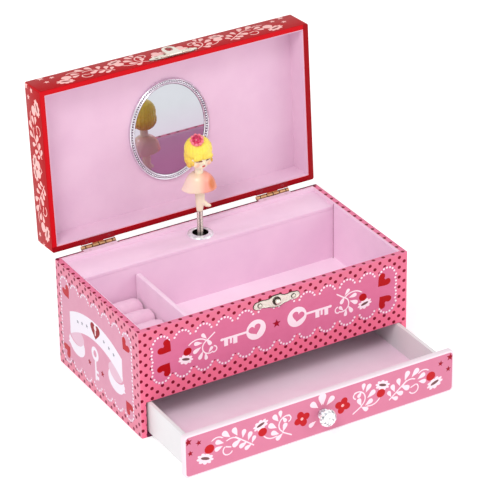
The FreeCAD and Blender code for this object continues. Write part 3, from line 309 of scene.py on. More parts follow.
case_print, point = finish("case_printed_paper", Coat_Weight=0.03, Coat_Roughness=0.3,
                           Specular_IOR_Level=0.12)
x, y, z = point.xyz()
case_low, case_high = [corner * 1000 for corner in (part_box("case_left_side")[0],
                                                    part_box("case_right_side")[1])]
on_side = abs(x) > case_high.x - 0.3
on_rim = z > case_high.z - 0.35
across = on_side.between(x, y + 4.25)
upward = on_rim.between(z, y + 2.6)
dots = dotted(x.flat(across, upward), (-107.3, 84.3))

front_sheet = x.flat(abs(x), z)
front_panel, front_beads = scalloped(x.flat(abs(x), z - 60.2), 101.7, 12.0, 17.2, 8.6, 6.8)
front_daisy, front_grey = blossom(front_sheet, (75.2, 54.3), 6.2, 14)
front_white = together([loop_sprig(front_sheet), key_mark(front_sheet, (17.2, 61.0)), front_beads,
                        front_daisy])
bud = placed(front_sheet, (73.6, 60.3), 60, (3.1, 3.4)).length()
front_red = together([heart(front_sheet, (86.8, 65.0), 11.2, 41, 0.52, 25.0),
                      heart(front_sheet, (88.2, 56.0), 11.0, -49, 0.52, 25.0), bud < 1.0])
front_star = star(front_sheet, (0.0, 60.8), 3.6)

side_sheet = y.flat(abs(y - 2.0), z - 42.2)
side_panel, side_beads = scalloped(side_sheet, 54.0, 29.2, 16.0, 0.0, 6.3)
ribbon_sheet = y.flat(abs(y - 3.0), z)
from_low, ribbon_across = placed(ribbon_sheet, (0.0, -24.5)).length(), abs(y - 3.0)
ribbon = (from_low > 71.0) & (from_low < 87.0) & (ribbon_across < 40.4)
behind = petal(ribbon_sheet, (30.0, 36.5), 11.0, 7.0)
tail = petal(ribbon_sheet, (30.5, 29.5), 12.3, 9.4) & (1.0 - petal(ribbon_sheet, (31.5, 37.6), 12.0, 8.8))
tail = tail | (bar(ribbon_sheet, (40.0, 27.2), 4.0, 2.6, 18)
               & (1.0 - petal(ribbon_sheet, (46.0, 28.0), 3.2, 2.2)))
keyhole_heart = heart(ribbon_sheet, (0.0, 48.6), 13.2, 90, 0.60, 22.0)
keyhole = petal(ribbon_sheet, (0.0, 58.0), 1.9, 2.0) | bar(ribbon_sheet, (0.0, 54.8), 0.8, 3.0)
sparks = together([star(ribbon_sheet, (off, 61.6 - 7.2 - off * off / 170), 1.9)
                   for off in (13.2, 20.8, 27.8)])
small_key = petal(y.flat(y, z), (4.9, 35.6), 5.4, 5.8) & (1.0 - petal(y.flat(y, z), (4.9, 35.8), 2.4, 2.8))
small_key = together([small_key, bar(y.flat(y, z), (4.6, 22.0), 1.1, 8.4),
                      bar(y.flat(y, z), (2.2, 16.6), 2.2, 1.5),
                      bar(y.flat(y, z), (2.4, 21.4), 2.0, 1.1)])
side_white = together([ribbon, tail, small_key, side_beads])
side_star = star(y.flat(abs(y - 4.2), z), (10.0, 24.2), 2.9)
side_red = together([heart(side_sheet, (41.8, 20.4), 11.0, 50), heart(side_sheet, (43.4, -21.6), 11.0, -42)])

tone_mix = point.noise(7.0, 4.0)
low = z.ramp(30.0, 80.0, 1.0, 0.0)
ground = low.blend(ink(224, 114, 142), ink(244, 116, 148))
panel = low.blend(tone_mix.blend(ink(208, 104, 140), ink(214, 114, 150)),
                  tone_mix.blend(ink(214, 108, 148), ink(224, 120, 160)))
front_colour = front_panel.blend(dots.blend(ground, DOT_MAROON), panel)
front_colour = front_star.blend(front_red.blend(front_white.blend(front_colour, PRINT_WHITE), HEART_RED),
                                STAR_MAROON)
front_colour = front_grey.blend(front_colour, FLOWER_GREY)
# The side panels are painted paler than the front: painted light from the left.
side_colour = side_panel.blend(dots.blend(ink(222, 136, 158), ink(124, 28, 60)),
                               tone_mix.blend(ink(208, 144, 168), ink(216, 156, 178)))
side_colour = (behind & (1.0 - ribbon)).blend(side_colour, ink(220, 184, 202))
side_colour = side_red.blend(side_star.blend(side_white.blend(side_colour, ink(232, 226, 236)),
                                             STAR_MAROON), ink(184, 44, 54))
side_colour = keyhole_heart.blend((sparks & ribbon).blend(side_colour, ink(146, 146, 158)), ink(146, 34, 42))
side_colour = keyhole.blend(side_colour, ink(236, 214, 218))
rim_colour = dots.blend(ink(226, 122, 154), DOT_MAROON)
dashes = (x * 0.74).sine().ramp(-0.6, 0.4)
rim_colour = (y > case_high.y - 1.5).blend(rim_colour, dashes.blend(ink(52, 6, 34), ink(118, 30, 70)))
case_colour = on_rim.blend(on_side.blend(front_colour, side_colour), rim_colour)
turned_in = (abs(x) < case_high.x - 4.2) & (y > case_low.y + 4.2) & (y < case_high.y - 2.0)
# Inside faces below the deck are painted dark maroon, a painted shade in the drawer bay.
case_colour = turned_in.blend(case_colour, (z > 40.0).blend(ink(88, 20, 54), ink(240, 206, 226)))
paint(case_print, 0.02, point.noise(0.35, 2.0), Base_Color=case_colour,
      Roughness=point.noise(18.0).ramp(0.3, 0.7, 0.42, 0.56))

MM = 0.001


def block(low, high):
    """Box between two corners, as a bmesh in millimetres."""
    bm = bmesh.new()
    bmesh.ops.create_cube(bm, size=1.0)
    low, high = Vector(low), Vector(high)
    bmesh.ops.scale(bm, vec=high - low, verts=bm.verts)
    move(bm, (low + high) / 2)
    return bm


def rounded(low, high, radius):
    """Box whose four upright edges are rounded over."""
    bm = block(low, high)
    upright = [edge for edge in bm.edges if abs(edge.verts[0].co.z - edge.verts[1].co.z) > 1]
    bmesh.ops.bevel(bm, geom=upright, affect="EDGES", offset=radius, segments=4, profile=0.5, material=-1)
    return bm


def meshed(name, bm):
    """The mesh of a shape, which is freed."""
    mesh = bpy.data.meshes.new(name)
    bm.to_mesh(mesh)
    bm.free()
    return mesh


def in_scene(name, data):
    made = bpy.data.objects.new(name, data)
    bpy.context.scene.collection.objects.link(made)
    return made


def move(bm, by):
    bmesh.ops.translate(bm, vec=by, verts=bm.verts)


def cut(body_bm, cutter_bms):
    """The first shape with the others taken out of it."""
    loose = [in_scene("shape", meshed("shape", bm)) for bm in [body_bm] + cutter_bms]
    for cutter in loose[1:]:
        step = loose[0].modifiers.new("cut", "BOOLEAN")
        step.object, step.solver = cutter, "EXACT"
    graph = bpy.context.evaluated_depsgraph_get()
    result = bmesh.new()
    result.from_mesh(bpy.data.meshes.new_from_object(loose[0].evaluated_get(graph)))
    for each in loose:
        bpy.data.objects.remove(each)
    return result


def piece(name, bm, material, body, replaces=(), smooth=35.0, bevel=0.0):
    """Finishes a shape in millimetres as a named piece that rides on a body of the frame."""
    bmesh.ops.remove_doubles(bm, verts=bm.verts, dist=1e-4)
    if bevel:
        sharp = [edge for edge in bm.edges if len(edge.link_faces) == 2 and edge.calc_face_angle(0) > 0.6]
        bmesh.ops.bevel(bm, geom=sharp, affect="EDGES", offset=bevel, segments=2, profile=0.5, material=-1,
                        clamp_overlap=True)
    bmesh.ops.recalc_face_normals(bm, faces=bm.faces)
    bmesh.ops.scale(bm, vec=(MM, MM, MM), verts=bm.verts)
    mesh = meshed(name, bm)
    made = in_scene(name, mesh)
    mesh.materials.append(material)
    for polygon in mesh.polygons:
        polygon.use_smooth = True
    mesh.set_sharp_from_angle(angle=math.radians(smooth))
    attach(made, body)
    if replaces:
        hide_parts(*replaces)
    return made


def corners(*nodes):
    """Lowest and highest corner of some CAD nodes together, in millimetres."""
    boxes = [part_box(node) for node in nodes]
    low = Vector([min(b[0][i] for b in boxes) * 1000 for i in range(3)])
    high = Vector([max(b[1][i] for b in boxes) * 1000 for i in range(3)])
    return low, high


outer_low, outer_high = corners("case_left_side", "case_right_side", "case_back", "front_fascia")
bay_low, bay_high = corners("case_back")
fascia_low, fascia_high = corners("front_fascia")
key_low, key_high = corners("winding_arbor")
key_axis = Vector(((key_low.x + key_high.x) / 2, 0, (key_low.z + key_high.z) / 2))
inside = block((bay_low.x, fascia_high.y, outer_low.z - 1), (bay_high.x, bay_low.y, outer_high.z + 1))
mouth = block((fascia_low.x, fascia_low.y - 1, -1), (fascia_high.x, fascia_high.y + 1, fascia_low.z))
KEY_HOLE, GROMMET_HOLE = 4.0, 7.5
key_hole = bmesh.new()
bmesh.ops.create_cone(key_hole, cap_ends=True, segments=32, radius1=KEY_HOLE, radius2=KEY_HOLE, depth=12.0,
                      matrix=Matrix.Translation((key_axis.x, bay_high.y,
                                                 key_axis.z)) @ Matrix.Rotation(math.pi / 2, 4, "X"))
HINGE_AT, LEAF_INNER_END, LEAF_DEEP = 75, 61.0, 0.7
half_leaf = (corners("hinge_pins")[1].x - LEAF_INNER_END) / 2
mortises = [block((side * HINGE_AT - half_leaf, bay_low.y - 0.1, bay_high.z - LEAF_DEEP),
                  (side * HINGE_AT + half_leaf, bay_high.y + 1, bay_high.z + 1)) for side in (-1, 1)]
case_shape = cut(rounded(outer_low, outer_high, 1.1), [inside, mouth, key_hole] + mortises)
piece("case_wrap", case_shape, case_print, "case",
      ("case_left_side", "case_right_side", "case_back", "front_fascia"), bevel=0.45)


# ---------------------------------------------------------------- backed board inside the case
# Base, deck and drawer guides are board faced with maroon paper, a guess, because it hardly shows;
# its dark maroon also stands in for the deep shade in the drawer bay, as painted shade. They are
# sawn to size and glued between the sides.
board, point = finish("maroon_board_bay_shade", Specular_IOR_Level=0.25)
fibre = point.noise(0.6, 5.0, 0.7)
paint(board, 0.06, fibre, Base_Color=(fibre * 0.6 + point.noise(9.0)
                                      * 0.4).blend(ink(74, 14, 44), ink(104, 30, 66)),
      Roughness=fibre.ramp(0.2, 0.8, 0.75, 0.95))


def give(material, *nodes):
    """Puts a finish on CAD nodes whose shape stays."""
    for node in nodes:
        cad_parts[node].data.materials.clear()
        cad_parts[node].data.materials.append(material)


give(board, "case_base", "tray_deck", "drawer_guides")


# ---------------------------------------------------------------- flocked linings
# Lilac-pink flock on thin card lines the tray, the shelf and the lid. The pile is short and dull,
# with a faint bloom where light grazes it. Each part has a tint of its own; the divider's paler tint
# is a painted highlight, and the tray's floor is painted paler than its walls as painted light, with
# painted shade in its back corners.
def flocking(name, deep, pale, bottom=None):
    """Short dull pile; with a bottom, its floor is painted paler as painted light and darker in the back
    corners as painted shade.
    """
    material, point = finish(name, Sheen_Weight=0.35, Sheen_Roughness=0.45, Specular_IOR_Level=0.1)
    pile = point.noise(0.22, 3.0, 0.7)
    brushed = point.noise(24.0, 3.0)
    shade = pile * 0.45 + brushed.ramp(0.3, 0.7) * 0.55
    colour = shade.blend(deep, pale)
    if bottom:
        low, high = corners(bottom)
        x, y, z = point.xyz()
        # Paler floor: painted light. Darker back corners: painted shade.
        colour = (z < low.z + 2.5).blend(colour, shade.blend(ink(250, 220, 238), ink(255, 232, 246)))
        corner_shade = x.flat(abs(x - (low.x + high.x) / 2) - (high.x - low.x) / 2 + 1.0,
                        high.y - 1.0 - y).length() < 0.7
        colour = (corner_shade * 0.7).blend(colour, ink(150, 84, 120))
    paint(material, 0.10, pile, Base_Color=colour, Roughness=pile.ramp(0.2, 0.8, 0.85, 0.98))
    return material


lilac_flock = flocking("lilac_flock", ink(238, 202, 226), ink(248, 214, 234))
lid_flock = flocking("lid_flock", ink(224, 186, 210), ink(234, 200, 220))
pale_flock = flocking("drawer_flock", ink(246, 214, 234), ink(252, 228, 243))
tray_flock = flocking("tray_flock", ink(238, 202, 226), ink(248, 214, 234), "tray_lining")
give(tray_flock, "tray_lining")
give(lilac_flock, "shelf_front_wall")
give(lid_flock, "lid_lining")
give(pale_flock, "drawer_lining")

shelf_hole = bmesh.new()
grommet_low, grommet_high = corners("spindle_grommet")
spindle = (grommet_low + grommet_high) / 2
bmesh.ops.create_cone(shelf_hole, cap_ends=True, segments=48, radius1=GROMMET_HOLE, radius2=GROMMET_HOLE,
                      depth=20.0,
                      matrix=Matrix.Translation(spindle))
shelf_shape = cut(block(*corners("movement_shelf")), [shelf_hole])
piece("covered_shelf", shelf_shape, lilac_flock, "case", ("movement_shelf",), bevel=0.3)
divider_low, divider_high = corners("tray_divider")
# The divider's flock is a paler copy of the lining: a painted highlight.
divider_flock_highlight = flocking("divider_flock_highlight", ink(242, 208, 230), ink(252, 222, 240))
piece("covered_divider", block(divider_low, divider_high - Vector((0, 0.7, 0))), divider_flock_highlight, "case",
      ("tray_divider",), bevel=1.2)


# ---------------------------------------------------------------- ring rolls
# Five foam bars wrapped in flocked cloth lie side by side in the ring bay. They swell a little,
# round over at the ends and pinch a ring between them.
roll_cloth, point = finish("ring_roll_cloth", Sheen_Weight=0.4, Sheen_Roughness=0.45, Specular_IOR_Level=0.1)
pile = point.noise(0.25, 3.0, 0.7)
crease = point.noise(6.0, 3.0)
paint(roll_cloth, 0.10, pile * 0.5 + crease, Roughness=pile.ramp(0.2, 0.8, 0.85, 0.98),
      Base_Color=(pile * 0.4 + crease.ramp(0.3, 0.7) * 0.6).blend(ink(236, 198, 220), ink(248, 212, 230)))
rolls_low, rolls_high = corners("ring_rolls")
ROLLS, HALF_ROLL = 5, 7.9
pitch = (rolls_high.y - rolls_low.y + 0.6) / ROLLS
rolls = bmesh.new()
for number in range(ROLLS):
    middle = rolls_low.y - 0.3 + pitch * (number + 0.5)
    roll = block((rolls_low.x + 0.4, middle - HALF_ROLL, rolls_low.z),
                 (rolls_high.x - 1.3, middle + HALF_ROLL, rolls_high.z))
    bmesh.ops.subdivide_edges(roll, edges=roll.edges, cuts=9, use_grid_fill=True)
    for vert in roll.verts:
        along = (vert.co.x - rolls_low.x) / (rolls_high.x - rolls_low.x) * 2 - 1
        rise = (vert.co.z - rolls_low.z) / (rolls_high.z - rolls_low.z)
        sideways = (vert.co.y - middle) / HALF_ROLL
        end = math.sqrt(max(0.0, 1 - abs(along) ** 9))
        shoulder = max(0.0, rise - 0.45) / 0.55
        round_over = math.sqrt(max(0.0, 1 - shoulder ** 2 * 0.93))
        vert.co.y = middle + sideways * HALF_ROLL * (0.35 + 0.65 * round_over) * (0.93 + 0.07 * end)
        crown = (1 - sideways ** 2) * 1.3 * (0.4 + 0.6 * end) - (1 - end) * 4.4 * rise
        vert.co.z += (crown - 0.9) * rise + 0.25 * rise * math.sin(vert.co.x * 0.55 + number * 2.1)
    rolls.from_mesh(meshed("roll", roll))
ring_rolls = piece("ring_roll_cushions", rolls, roll_cloth, "case", ("ring_rolls",), smooth=80)
soften = ring_rolls.modifiers.new("soften", "SUBSURF")
soften.levels = soften.render_levels = 2


# ---------------------------------------------------------------- the wrapped lid
# The lid is greyboard wrapped in red paper with cream sprigs on its outer faces and a plain rim,
# which is painted darker by the hinges and on the right as painted shade. It hangs open on its
# hinges, so its shapes are drawn shut and swung back.
hinge_low, hinge_high = corners("hinge_pins")
hinge_at = (hinge_low + hinge_high) / 2
LID_OPEN = math.radians(93.5)
swing = Matrix.Translation(hinge_at) @ Matrix.Rotation(-LID_OPEN, 4, "X") @ Matrix.Translation(-hinge_at)


def opened(bm):
    bmesh.ops.transform(bm, matrix=swing, verts=bm.verts)
    return bm


lid_low, lid_high = Vector((-112.5, -64.0, 87.4)), Vector((112.5, 64.0, 111.4))
WALL, TOP = 4.0, 3.0
cavity = block((lid_low.x + WALL, lid_low.y + WALL, lid_low.z - 1), (lid_high.x - WALL, lid_high.y - WALL,
                                                                     lid_high.z - TOP))
lid_leaves = [block((side * HINGE_AT - half_leaf, lid_high.y - 4.5, lid_low.z - 1),
                    (side * HINGE_AT + half_leaf, lid_high.y + 1, lid_low.z + LEAF_DEEP)) for side in (-1, 1)]
lid_print, point = finish("lid_printed_paper", Coat_Weight=0.03, Coat_Roughness=0.25, Specular_IOR_Level=0.09)
shut = point.node("VectorMath", {"operation": "SUBTRACT"}, {0: point, 1: tuple(hinge_at)})
shut = shut.node("Mapping", {"vector_type": "POINT"}, {"Vector": shut, "Rotation": (LID_OPEN, 0.0, 0.0)})
shut = shut.node("VectorMath", {"operation": "ADD"}, {0: shut, 1: tuple(hinge_at)})
x, y, z = shut.xyz()
on_end = abs(x) > lid_high.x - 0.3
on_top = z > lid_high.z - 0.3
on_face = (abs(y) > lid_high.y - 0.3) | on_end
around = on_end.between(abs(x) + 8.0, abs(y - 1.0) + 46.0)
cream, rosy, tiny, centres = garland(x.flat(around, (z - lid_low.z) * 1.16 + 4.6))
top_sheet = x.flat(abs(x), abs(y))
top_inside, top_beads = scalloped(top_sheet, 100.0, 46.0, 17.0, 8.5, 6.7)
spray = loop_sprig(placed(top_sheet, (-26.0, -52.0), 8, (1.3, 1.3)))
top_daisy, _ = blossom(top_sheet, (28.0, 30.0), 7.0, 20)
top_rose, _ = blossom(top_sheet, (0.0, 0.0), 17.0, 0, 6, 1.0, 0.35)
top_hearts = together([heart(x.flat(abs(x), y), (82.0, 0.0), 13.0, 0),
                       heart(x.flat(x, y), (0.0, -8.0), 15.0, 90, 0.8)])
tone = point.noise(16.0, 3.0)
marks = together([cream, rosy, tiny]) & on_face
colour = on_face.blend(tone.blend(ink(196, 4, 18), ink(206, 8, 24)),
                       tone.blend(ink(170, 0, 12), ink(182, 4, 18)))
# The rim by the hinges and on the right is painted darker: painted shade.
shaded_rim = (z < lid_low.z + 0.3) & ((y > lid_high.y - 4.5) | (x > lid_high.x - 4.5))
colour = (shaded_rim * 0.8).blend(colour, ink(138, 0, 12))
colour = (centres & on_face).blend(marks.blend(colour, ink(248, 192, 188)), ink(150, 60, 60))
top_colour = together([top_beads, spray, top_daisy, top_rose]).blend(
    top_inside.blend(ink(186, 12, 28), ink(204, 30, 42)), ink(248, 206, 204))
colour = on_top.blend(colour, top_hearts.blend(top_colour, ink(178, 8, 26)))
paint(lid_print, 0.02, point.noise(0.4, 2.0), Base_Color=colour, Roughness=tone.ramp(0.3, 0.7, 0.34, 0.46))
piece("lid_wrap", opened(cut(rounded(lid_low, lid_high, 1.6), [cavity] + lid_leaves)), lid_print, "lid",
      ("lid_top", "lid_front_wall", "lid_back_wall", "lid_left_wall", "lid_right_wall"), bevel=0.45)


# ---------------------------------------------------------------- the mirror
# An oval of silvered glass, painted magenta towards its lower edge as a painted reflection of the
# pink lining, in a metallised plastic frame.
# The frame is moulded with a rounded rim outside, a smaller one inside and a row of beads between,
# and it is glued to the lid's lining.
silver, point = finish("silver_plating", Metallic=1.0)
tarnish = point.noise(5.0, 4.0)
paint(silver, 0.02, point.noise(0.8, 3.0), Base_Color=tarnish.blend(ink(206, 204, 210), ink(244, 243, 248)),
      Roughness=tarnish.ramp(0.3, 0.7, 0.16, 0.30))
CEILING = 107.4
OVAL_X, OVAL_Y, RIM = 34.0, 40.5, 4.5


def oval_ring(profile, offset=0.0, steps=144):
    """Spins a closed (outward, upward) outline and stretches it along the mirror's oval."""
    bm = bmesh.new()
    start = OVAL_X + 20
    verts = [bm.verts.new((start + out, 0, rise)) for out, rise in profile]
    edges = [bm.edges.new((verts[i], verts[(i + 1) % len(verts)])) for i in range(len(verts))]
    bmesh.ops.spin(bm, geom=verts + edges, cent=(0, 0, 0), axis=(0, 0, 1), angle=math.tau, steps=steps,
                   use_merge=True)
    for vert in bm.verts:
        angle, out = math.atan2(vert.co.y, vert.co.x), math.hypot(vert.co.x, vert.co.y) - start + offset
        middle = Vector((math.cos(angle) * (OVAL_X - RIM / 2), math.sin(angle) * (OVAL_Y - RIM / 2), 0))
        away = Vector((math.cos(angle) / OVAL_X, math.sin(angle) / OVAL_Y, 0)).normalized()
        vert.co = middle + away * out + Vector((0, 0, CEILING + vert.co.z))
    return bm


def add(target, source):
    """Moves one shape's faces into another."""
    target.from_mesh(meshed("part", source))


mirror_rim = oval_ring([(2.2, 0.0), (2.25, -1.2), (2.0, -2.1), (1.4, -2.45), (0.9, -2.2), (0.75, -1.6),
                        (-0.75, -1.5),
                        (-0.95, -2.0), (-1.45, -2.3), (-2.0, -2.0), (-2.2, -1.3), (-2.2, 0.0)])
MIRROR_BEADS, MIRROR_BEAD = 124, 0.72
for number in range(MIRROR_BEADS):
    angle = math.tau * number / MIRROR_BEADS
    angle += 0.045 * math.sin(2 * angle)
    bead = bmesh.new()
    bmesh.ops.create_icosphere(bead, subdivisions=2, radius=MIRROR_BEAD, matrix=Matrix.Translation(
        (math.cos(angle) * (OVAL_X - RIM / 2), math.sin(angle) * (OVAL_Y - RIM / 2), CEILING - 1.6)))
    add(mirror_rim, bead)
piece("mirror_frame_beaded", opened(mirror_rim), silver, "lid", ("mirror_frame",),
      smooth=50)
tarnished, point = finish("tarnished_channel", Metallic=0.7)
tarnish = point.noise(2.0, 4.0)
paint(tarnished, Base_Color=tarnish.blend(ink(72, 50, 78), ink(140, 118, 140)),
      Roughness=tarnish.ramp(0.3, 0.7, 0.3, 0.5))
channel = oval_ring([(0.72, -1.75), (0.72, -1.66), (-0.72, -1.58), (-0.72, -1.5)][::-1])
piece("mirror_frame_channel", opened(channel), tarnished, "lid", smooth=50)

mirror, point = finish("silvered_glass", Metallic=1.0, Coat_Weight=0.2, Coat_Roughness=0.0)
haze = point.noise(11.0, 3.0)
# Magenta towards the lower edge: a painted reflection of the lining.
lining_reflection = point.xyz()[2].ramp(126.0, 172.0, 0.35, 0.0)
paint(mirror, Roughness=haze.ramp(0.3, 0.7, 0.012, 0.03),
      Base_Color=lining_reflection.blend(haze.blend(ink(188, 190, 195), ink(194, 196, 202)), ink(196, 112, 176)))
give(mirror, "mirror_glass")


# ---------------------------------------------------------------- hinges
# Two pressed butt hinges in brass-plated steel, let into the back edge and screwed down. The brass
# is painted dark low on the knuckles and bright at their top: painted light and shade.
def hinge_finish(name, leaf_colour):
    """Brass by the pin; further out the leaf lies under the turned-in paper."""
    material, point = finish(name, Specular_IOR_Level=0.2)
    x, y, z = point.xyz()
    away = y.flat(y - hinge_at.y, z - hinge_at.z).length()
    bare = away < 2.05
    scratched = point.noise(1.2, 4.0, 0.7)
    joint = abs(x.maths("WRAP", abs(x) - HINGE_AT, 2.8, -2.8)) < 0.35
    # Dark low and bright at the top: painted light and shade, with some random tone.
    tone_mix = (z - hinge_at.z).ramp(-0.9, 2.3) * 0.7 + point.noise(2.6, 3.0).ramp(0.3, 0.7) * 0.3
    gold = joint.blend(tone_mix.blend(ink(74, 30, 24), ink(234, 184, 134)), ink(34, 14, 12))
    paint(material, 0.03, scratched, Base_Color=bare.blend(leaf_colour, gold), Metallic=bare,
          Roughness=bare.between(0.42, scratched.ramp(0.2, 0.8, 0.2, 0.4)))
    return material


# The lid leaf's dark red matches the rim's painted shade by the hinges.
give(hinge_finish("lid_hinge_brass", ink(146, 0, 14)), "hinge_lid_leaves")
give(hinge_finish("case_hinge_brass", ink(240, 206, 226)), "hinge_case_leaves", "hinge_pins")


# ---------------------------------------------------------------- catch and hasp
# Stamped nickel-plated brackets with pierced, stepped outlines. The catch plate is screwed to the
# case with a domed stud in its middle, and the hasp plate is screwed to the lid.
nickel, point = finish("nickel_plate", Metallic=0.85)
wear = point.noise(1.6, 4.0, 0.7)
paint(nickel, 0.04, wear, Base_Color=(wear * 0.5 + point.noise(5.0)
                                      * 0.5).blend(ink(214, 206, 190), ink(252, 246, 236)),
      Roughness=wear.ramp(0.2, 0.8, 0.20, 0.38))


def both_halves(outline):
    return outline + [(-px, pz) for px, pz in reversed(outline) if abs(px) > 0.01]


def bracket(outline, thickness):
    """Stamped plate, mirrored left and right from half an outline, with a raised middle field."""
    bm = bmesh.new()
    points = both_halves(outline)
    face = bm.faces.new([bm.verts.new((px, 0, pz)) for px, pz in points])
    bmesh.ops.recalc_face_normals(bm, faces=[face])
    grown = bmesh.ops.extrude_face_region(bm, geom=[face])
    front = [item for item in grown["geom"] if isinstance(item, bmesh.types.BMFace)]
    bmesh.ops.translate(bm, vec=(0, -thickness * 0.75, 0), verts=[v for f in front for v in f.verts])
    bmesh.ops.inset_region(bm, faces=front, thickness=0.55, depth=0.0)
    bmesh.ops.inset_region(bm, faces=front, thickness=0.22, depth=0.0)
    bmesh.ops.translate(bm, vec=(0, thickness * 0.28, 0), verts=list({v for f in front for v in f.verts}))
    return bm


def shadow_outline(outline, grow, at_y, at_z):
    """Dark rim that shows all round a bracket: a painted shadow under its edge."""
    bm = bmesh.new()
    points = both_halves(outline)
    middle = sum(pz for _, pz in points) / len(points)
    wide, tall = 1 + grow / 19, 1 + grow / 3.2
    face = bm.faces.new([bm.verts.new((px * wide, at_y, at_z + middle + (pz - middle) * tall)) for px,
                         pz in points])
    grown = bmesh.ops.extrude_face_region(bm, geom=[face])
    bmesh.ops.translate(bm, vec=(0, -0.22, 0),
                        verts=[item for item in grown["geom"] if isinstance(item, bmesh.types.BMVert)])
    return bm


def turned(profile, at, axis="Y", steps=32):
    """Spins (radius, outward) points about an axis through at; outward is toward -Y or +Z."""
    bm = bmesh.new()
    verts = [bm.verts.new((radius, 0, rise)) for radius, rise in profile]
    edges = [bm.edges.new(pair) for pair in zip(verts, verts[1:])]
    bmesh.ops.spin(bm, geom=verts + edges, cent=(0, 0, 0), axis=(0, 0, 1), angle=math.tau, steps=steps,
                   use_merge=True)
    bmesh.ops.remove_doubles(bm, verts=bm.verts, dist=1e-4)
    if axis == "Y":
        bmesh.ops.rotate(bm, cent=(0, 0, 0), matrix=Matrix.Rotation(math.pi / 2, 3, "X"), verts=bm.verts)
    move(bm, at)
    return bm


def crossed_screw(at, radius=1.55):
    """Domed screw head with a cross recess, facing -Y."""
    head = turned([(0, 0.75), (radius * 0.45, 0.68), (radius * 0.8, 0.45), (radius, 0.1), (radius, 0),
                   (0, 0)], at, steps=24)
    slots = [block(Vector(at) + Vector((-a, -1.0, -b)), Vector(at) + Vector((a, -0.35, b))) for a,
             b in ((1.0, 0.2), (0.2, 1.0))]
    return cut(head, slots)


catch_low, catch_high = corners("catch_plate")
catch_z = (catch_low.z + catch_high.z) / 2
CATCH_SCREW = 14.0
half_catch = [(0, 4.5), (3.2, 4.4), (4.6, 3.6), (6.4, 2.9), (9.0, 2.9), (11.0, 3.3), (13.6, 3.2),
              (15.0, 2.9), (16.6, 2.9),
              (18.0, 2.2), (19.0, 0.8), (19.0, -0.6), (18.2, -1.8), (16.6, -2.6), (14.8, -2.8),
              (13.6, -2.3), (11.4, -2.3),
              (9.4, -3.0), (6.6, -3.2), (4.8, -3.9), (2.4, -4.5), (0, -4.6)]
catch = bracket(half_catch, 0.8)
move(catch, (0, catch_high.y, catch_z))
for side in (-1, 1):
    add(catch, crossed_screw((side * CATCH_SCREW, catch_low.y + 0.1, catch_z)))
add(catch, turned([(0, 3.1), (1.2, 3.05), (1.9, 2.5), (2.1, 1.7), (1.7, 1.0), (1.5, 0.4), (1.9, 0.0)],
                  (0, catch_low.y + 0.1, catch_z)))
piece("catch_bracket", catch, nickel, "case", ("catch_plate", "catch_stud"), smooth=40)
# Dark outlines round the brackets and dark rings round the stud and screws are painted shadows.
dark, point = finish("shadowed_recess", Metallic=0.6)
paint(dark, Base_Color=point.noise(1.0).blend(ink(38, 30, 26), ink(84, 72, 62)),
      Roughness=point.noise(2.0).ramp(0.2, 0.8, 0.4, 0.6))
recess = turned([(3.3, 0.0), (3.2, 0.45), (2.7, 0.5), (2.1, 0.3), (0.0, 0.3)],
                (0, catch_low.y + 0.1, catch_z))
add(recess, shadow_outline(half_catch, 0.5, catch_high.y, catch_z))
for side in (-1, 1):
    add(recess, turned([(1.9, 0.0), (1.85, 0.14), (1.5, 0.2)], (side * CATCH_SCREW, catch_low.y + 0.1,
                                                                catch_z)))
piece("catch_painted_shadow", recess, dark, "case")

HASP_Y, HASP_Z, LID_FRONT = -65.9, 89.6, -64.0
KNUCKLE_FROM, KNUCKLE_PITCH, HASP_SCREW = 6.3, 1.03, 13.33
half_hasp = [(0, 8.8), (2.6, 8.6), (5.0, 7.6), (6.6, 6.6), (9.0, 6.9), (11.5, 6.2), (13.4, 6.9),
             (15.6, 6.5), (17.4, 5.2),
             (19.4, 4.4), (20.0, 3.2), (19.2, 2.0), (17.0, 1.8), (15.4, 0.8), (12.0, 0.6), (0, 0.6)]
hasp = bracket(half_hasp, 0.8)
move(hasp, (0, LID_FRONT, HASP_Z))
for side in (-1, 1):
    add(hasp, crossed_screw((side * HASP_SCREW, -64.75, HASP_Z + 4.2)))
for number in range(6):
    for side in (-1, 1):
        ridge = turned([(0, 0.5), (0.55, 0.5), (0.95, 0.25), (1.0, 0.0), (0.95, -0.25), (0.55, -0.5),
                        (0, -0.5)],
                       (0, 0, 0), axis="Z", steps=14)
        bmesh.ops.rotate(ridge, cent=(0, 0, 0), matrix=Matrix.Rotation(math.pi / 2, 3, "Y"),
                         verts=ridge.verts)
        bmesh.ops.translate(ridge, vec=(side * (KNUCKLE_FROM + number * KNUCKLE_PITCH), HASP_Y, HASP_Z),
                            verts=ridge.verts)
        add(hasp, ridge)
for left in (-11.8, 5.8):
    add(hasp, block((left, HASP_Y, HASP_Z + 0.1), (left + 6.0, LID_FRONT - 0.4, HASP_Z + 0.8)))
piece("hasp_bracket", opened(hasp), nickel, "lid", ("hasp_plate",), smooth=40)
piece("hasp_painted_shadow", opened(shadow_outline(half_hasp, 0.4, LID_FRONT, HASP_Z)), dark, "lid")
give(nickel, "hasp_pin", "hasp_flap")
screw_metal, point = finish("screw_nickel")
_, back, height = point.xyz()
at_hinge = back > 50.0
grain = point.noise(1.0, 3.0)
paint(screw_metal, 0.02, grain, Roughness=grain.ramp(0.2, 0.8, 0.2, 0.35), Metallic=(1.0 - at_hinge) * 0.9,
      Base_Color=at_hinge.blend(grain.blend(ink(200, 192, 178), ink(242, 236, 224)),
                                (height < hinge_at.z + 1.0).blend(ink(140, 16, 24), ink(232, 196, 214))))
give(screw_metal, "lid_screws", "case_screws")


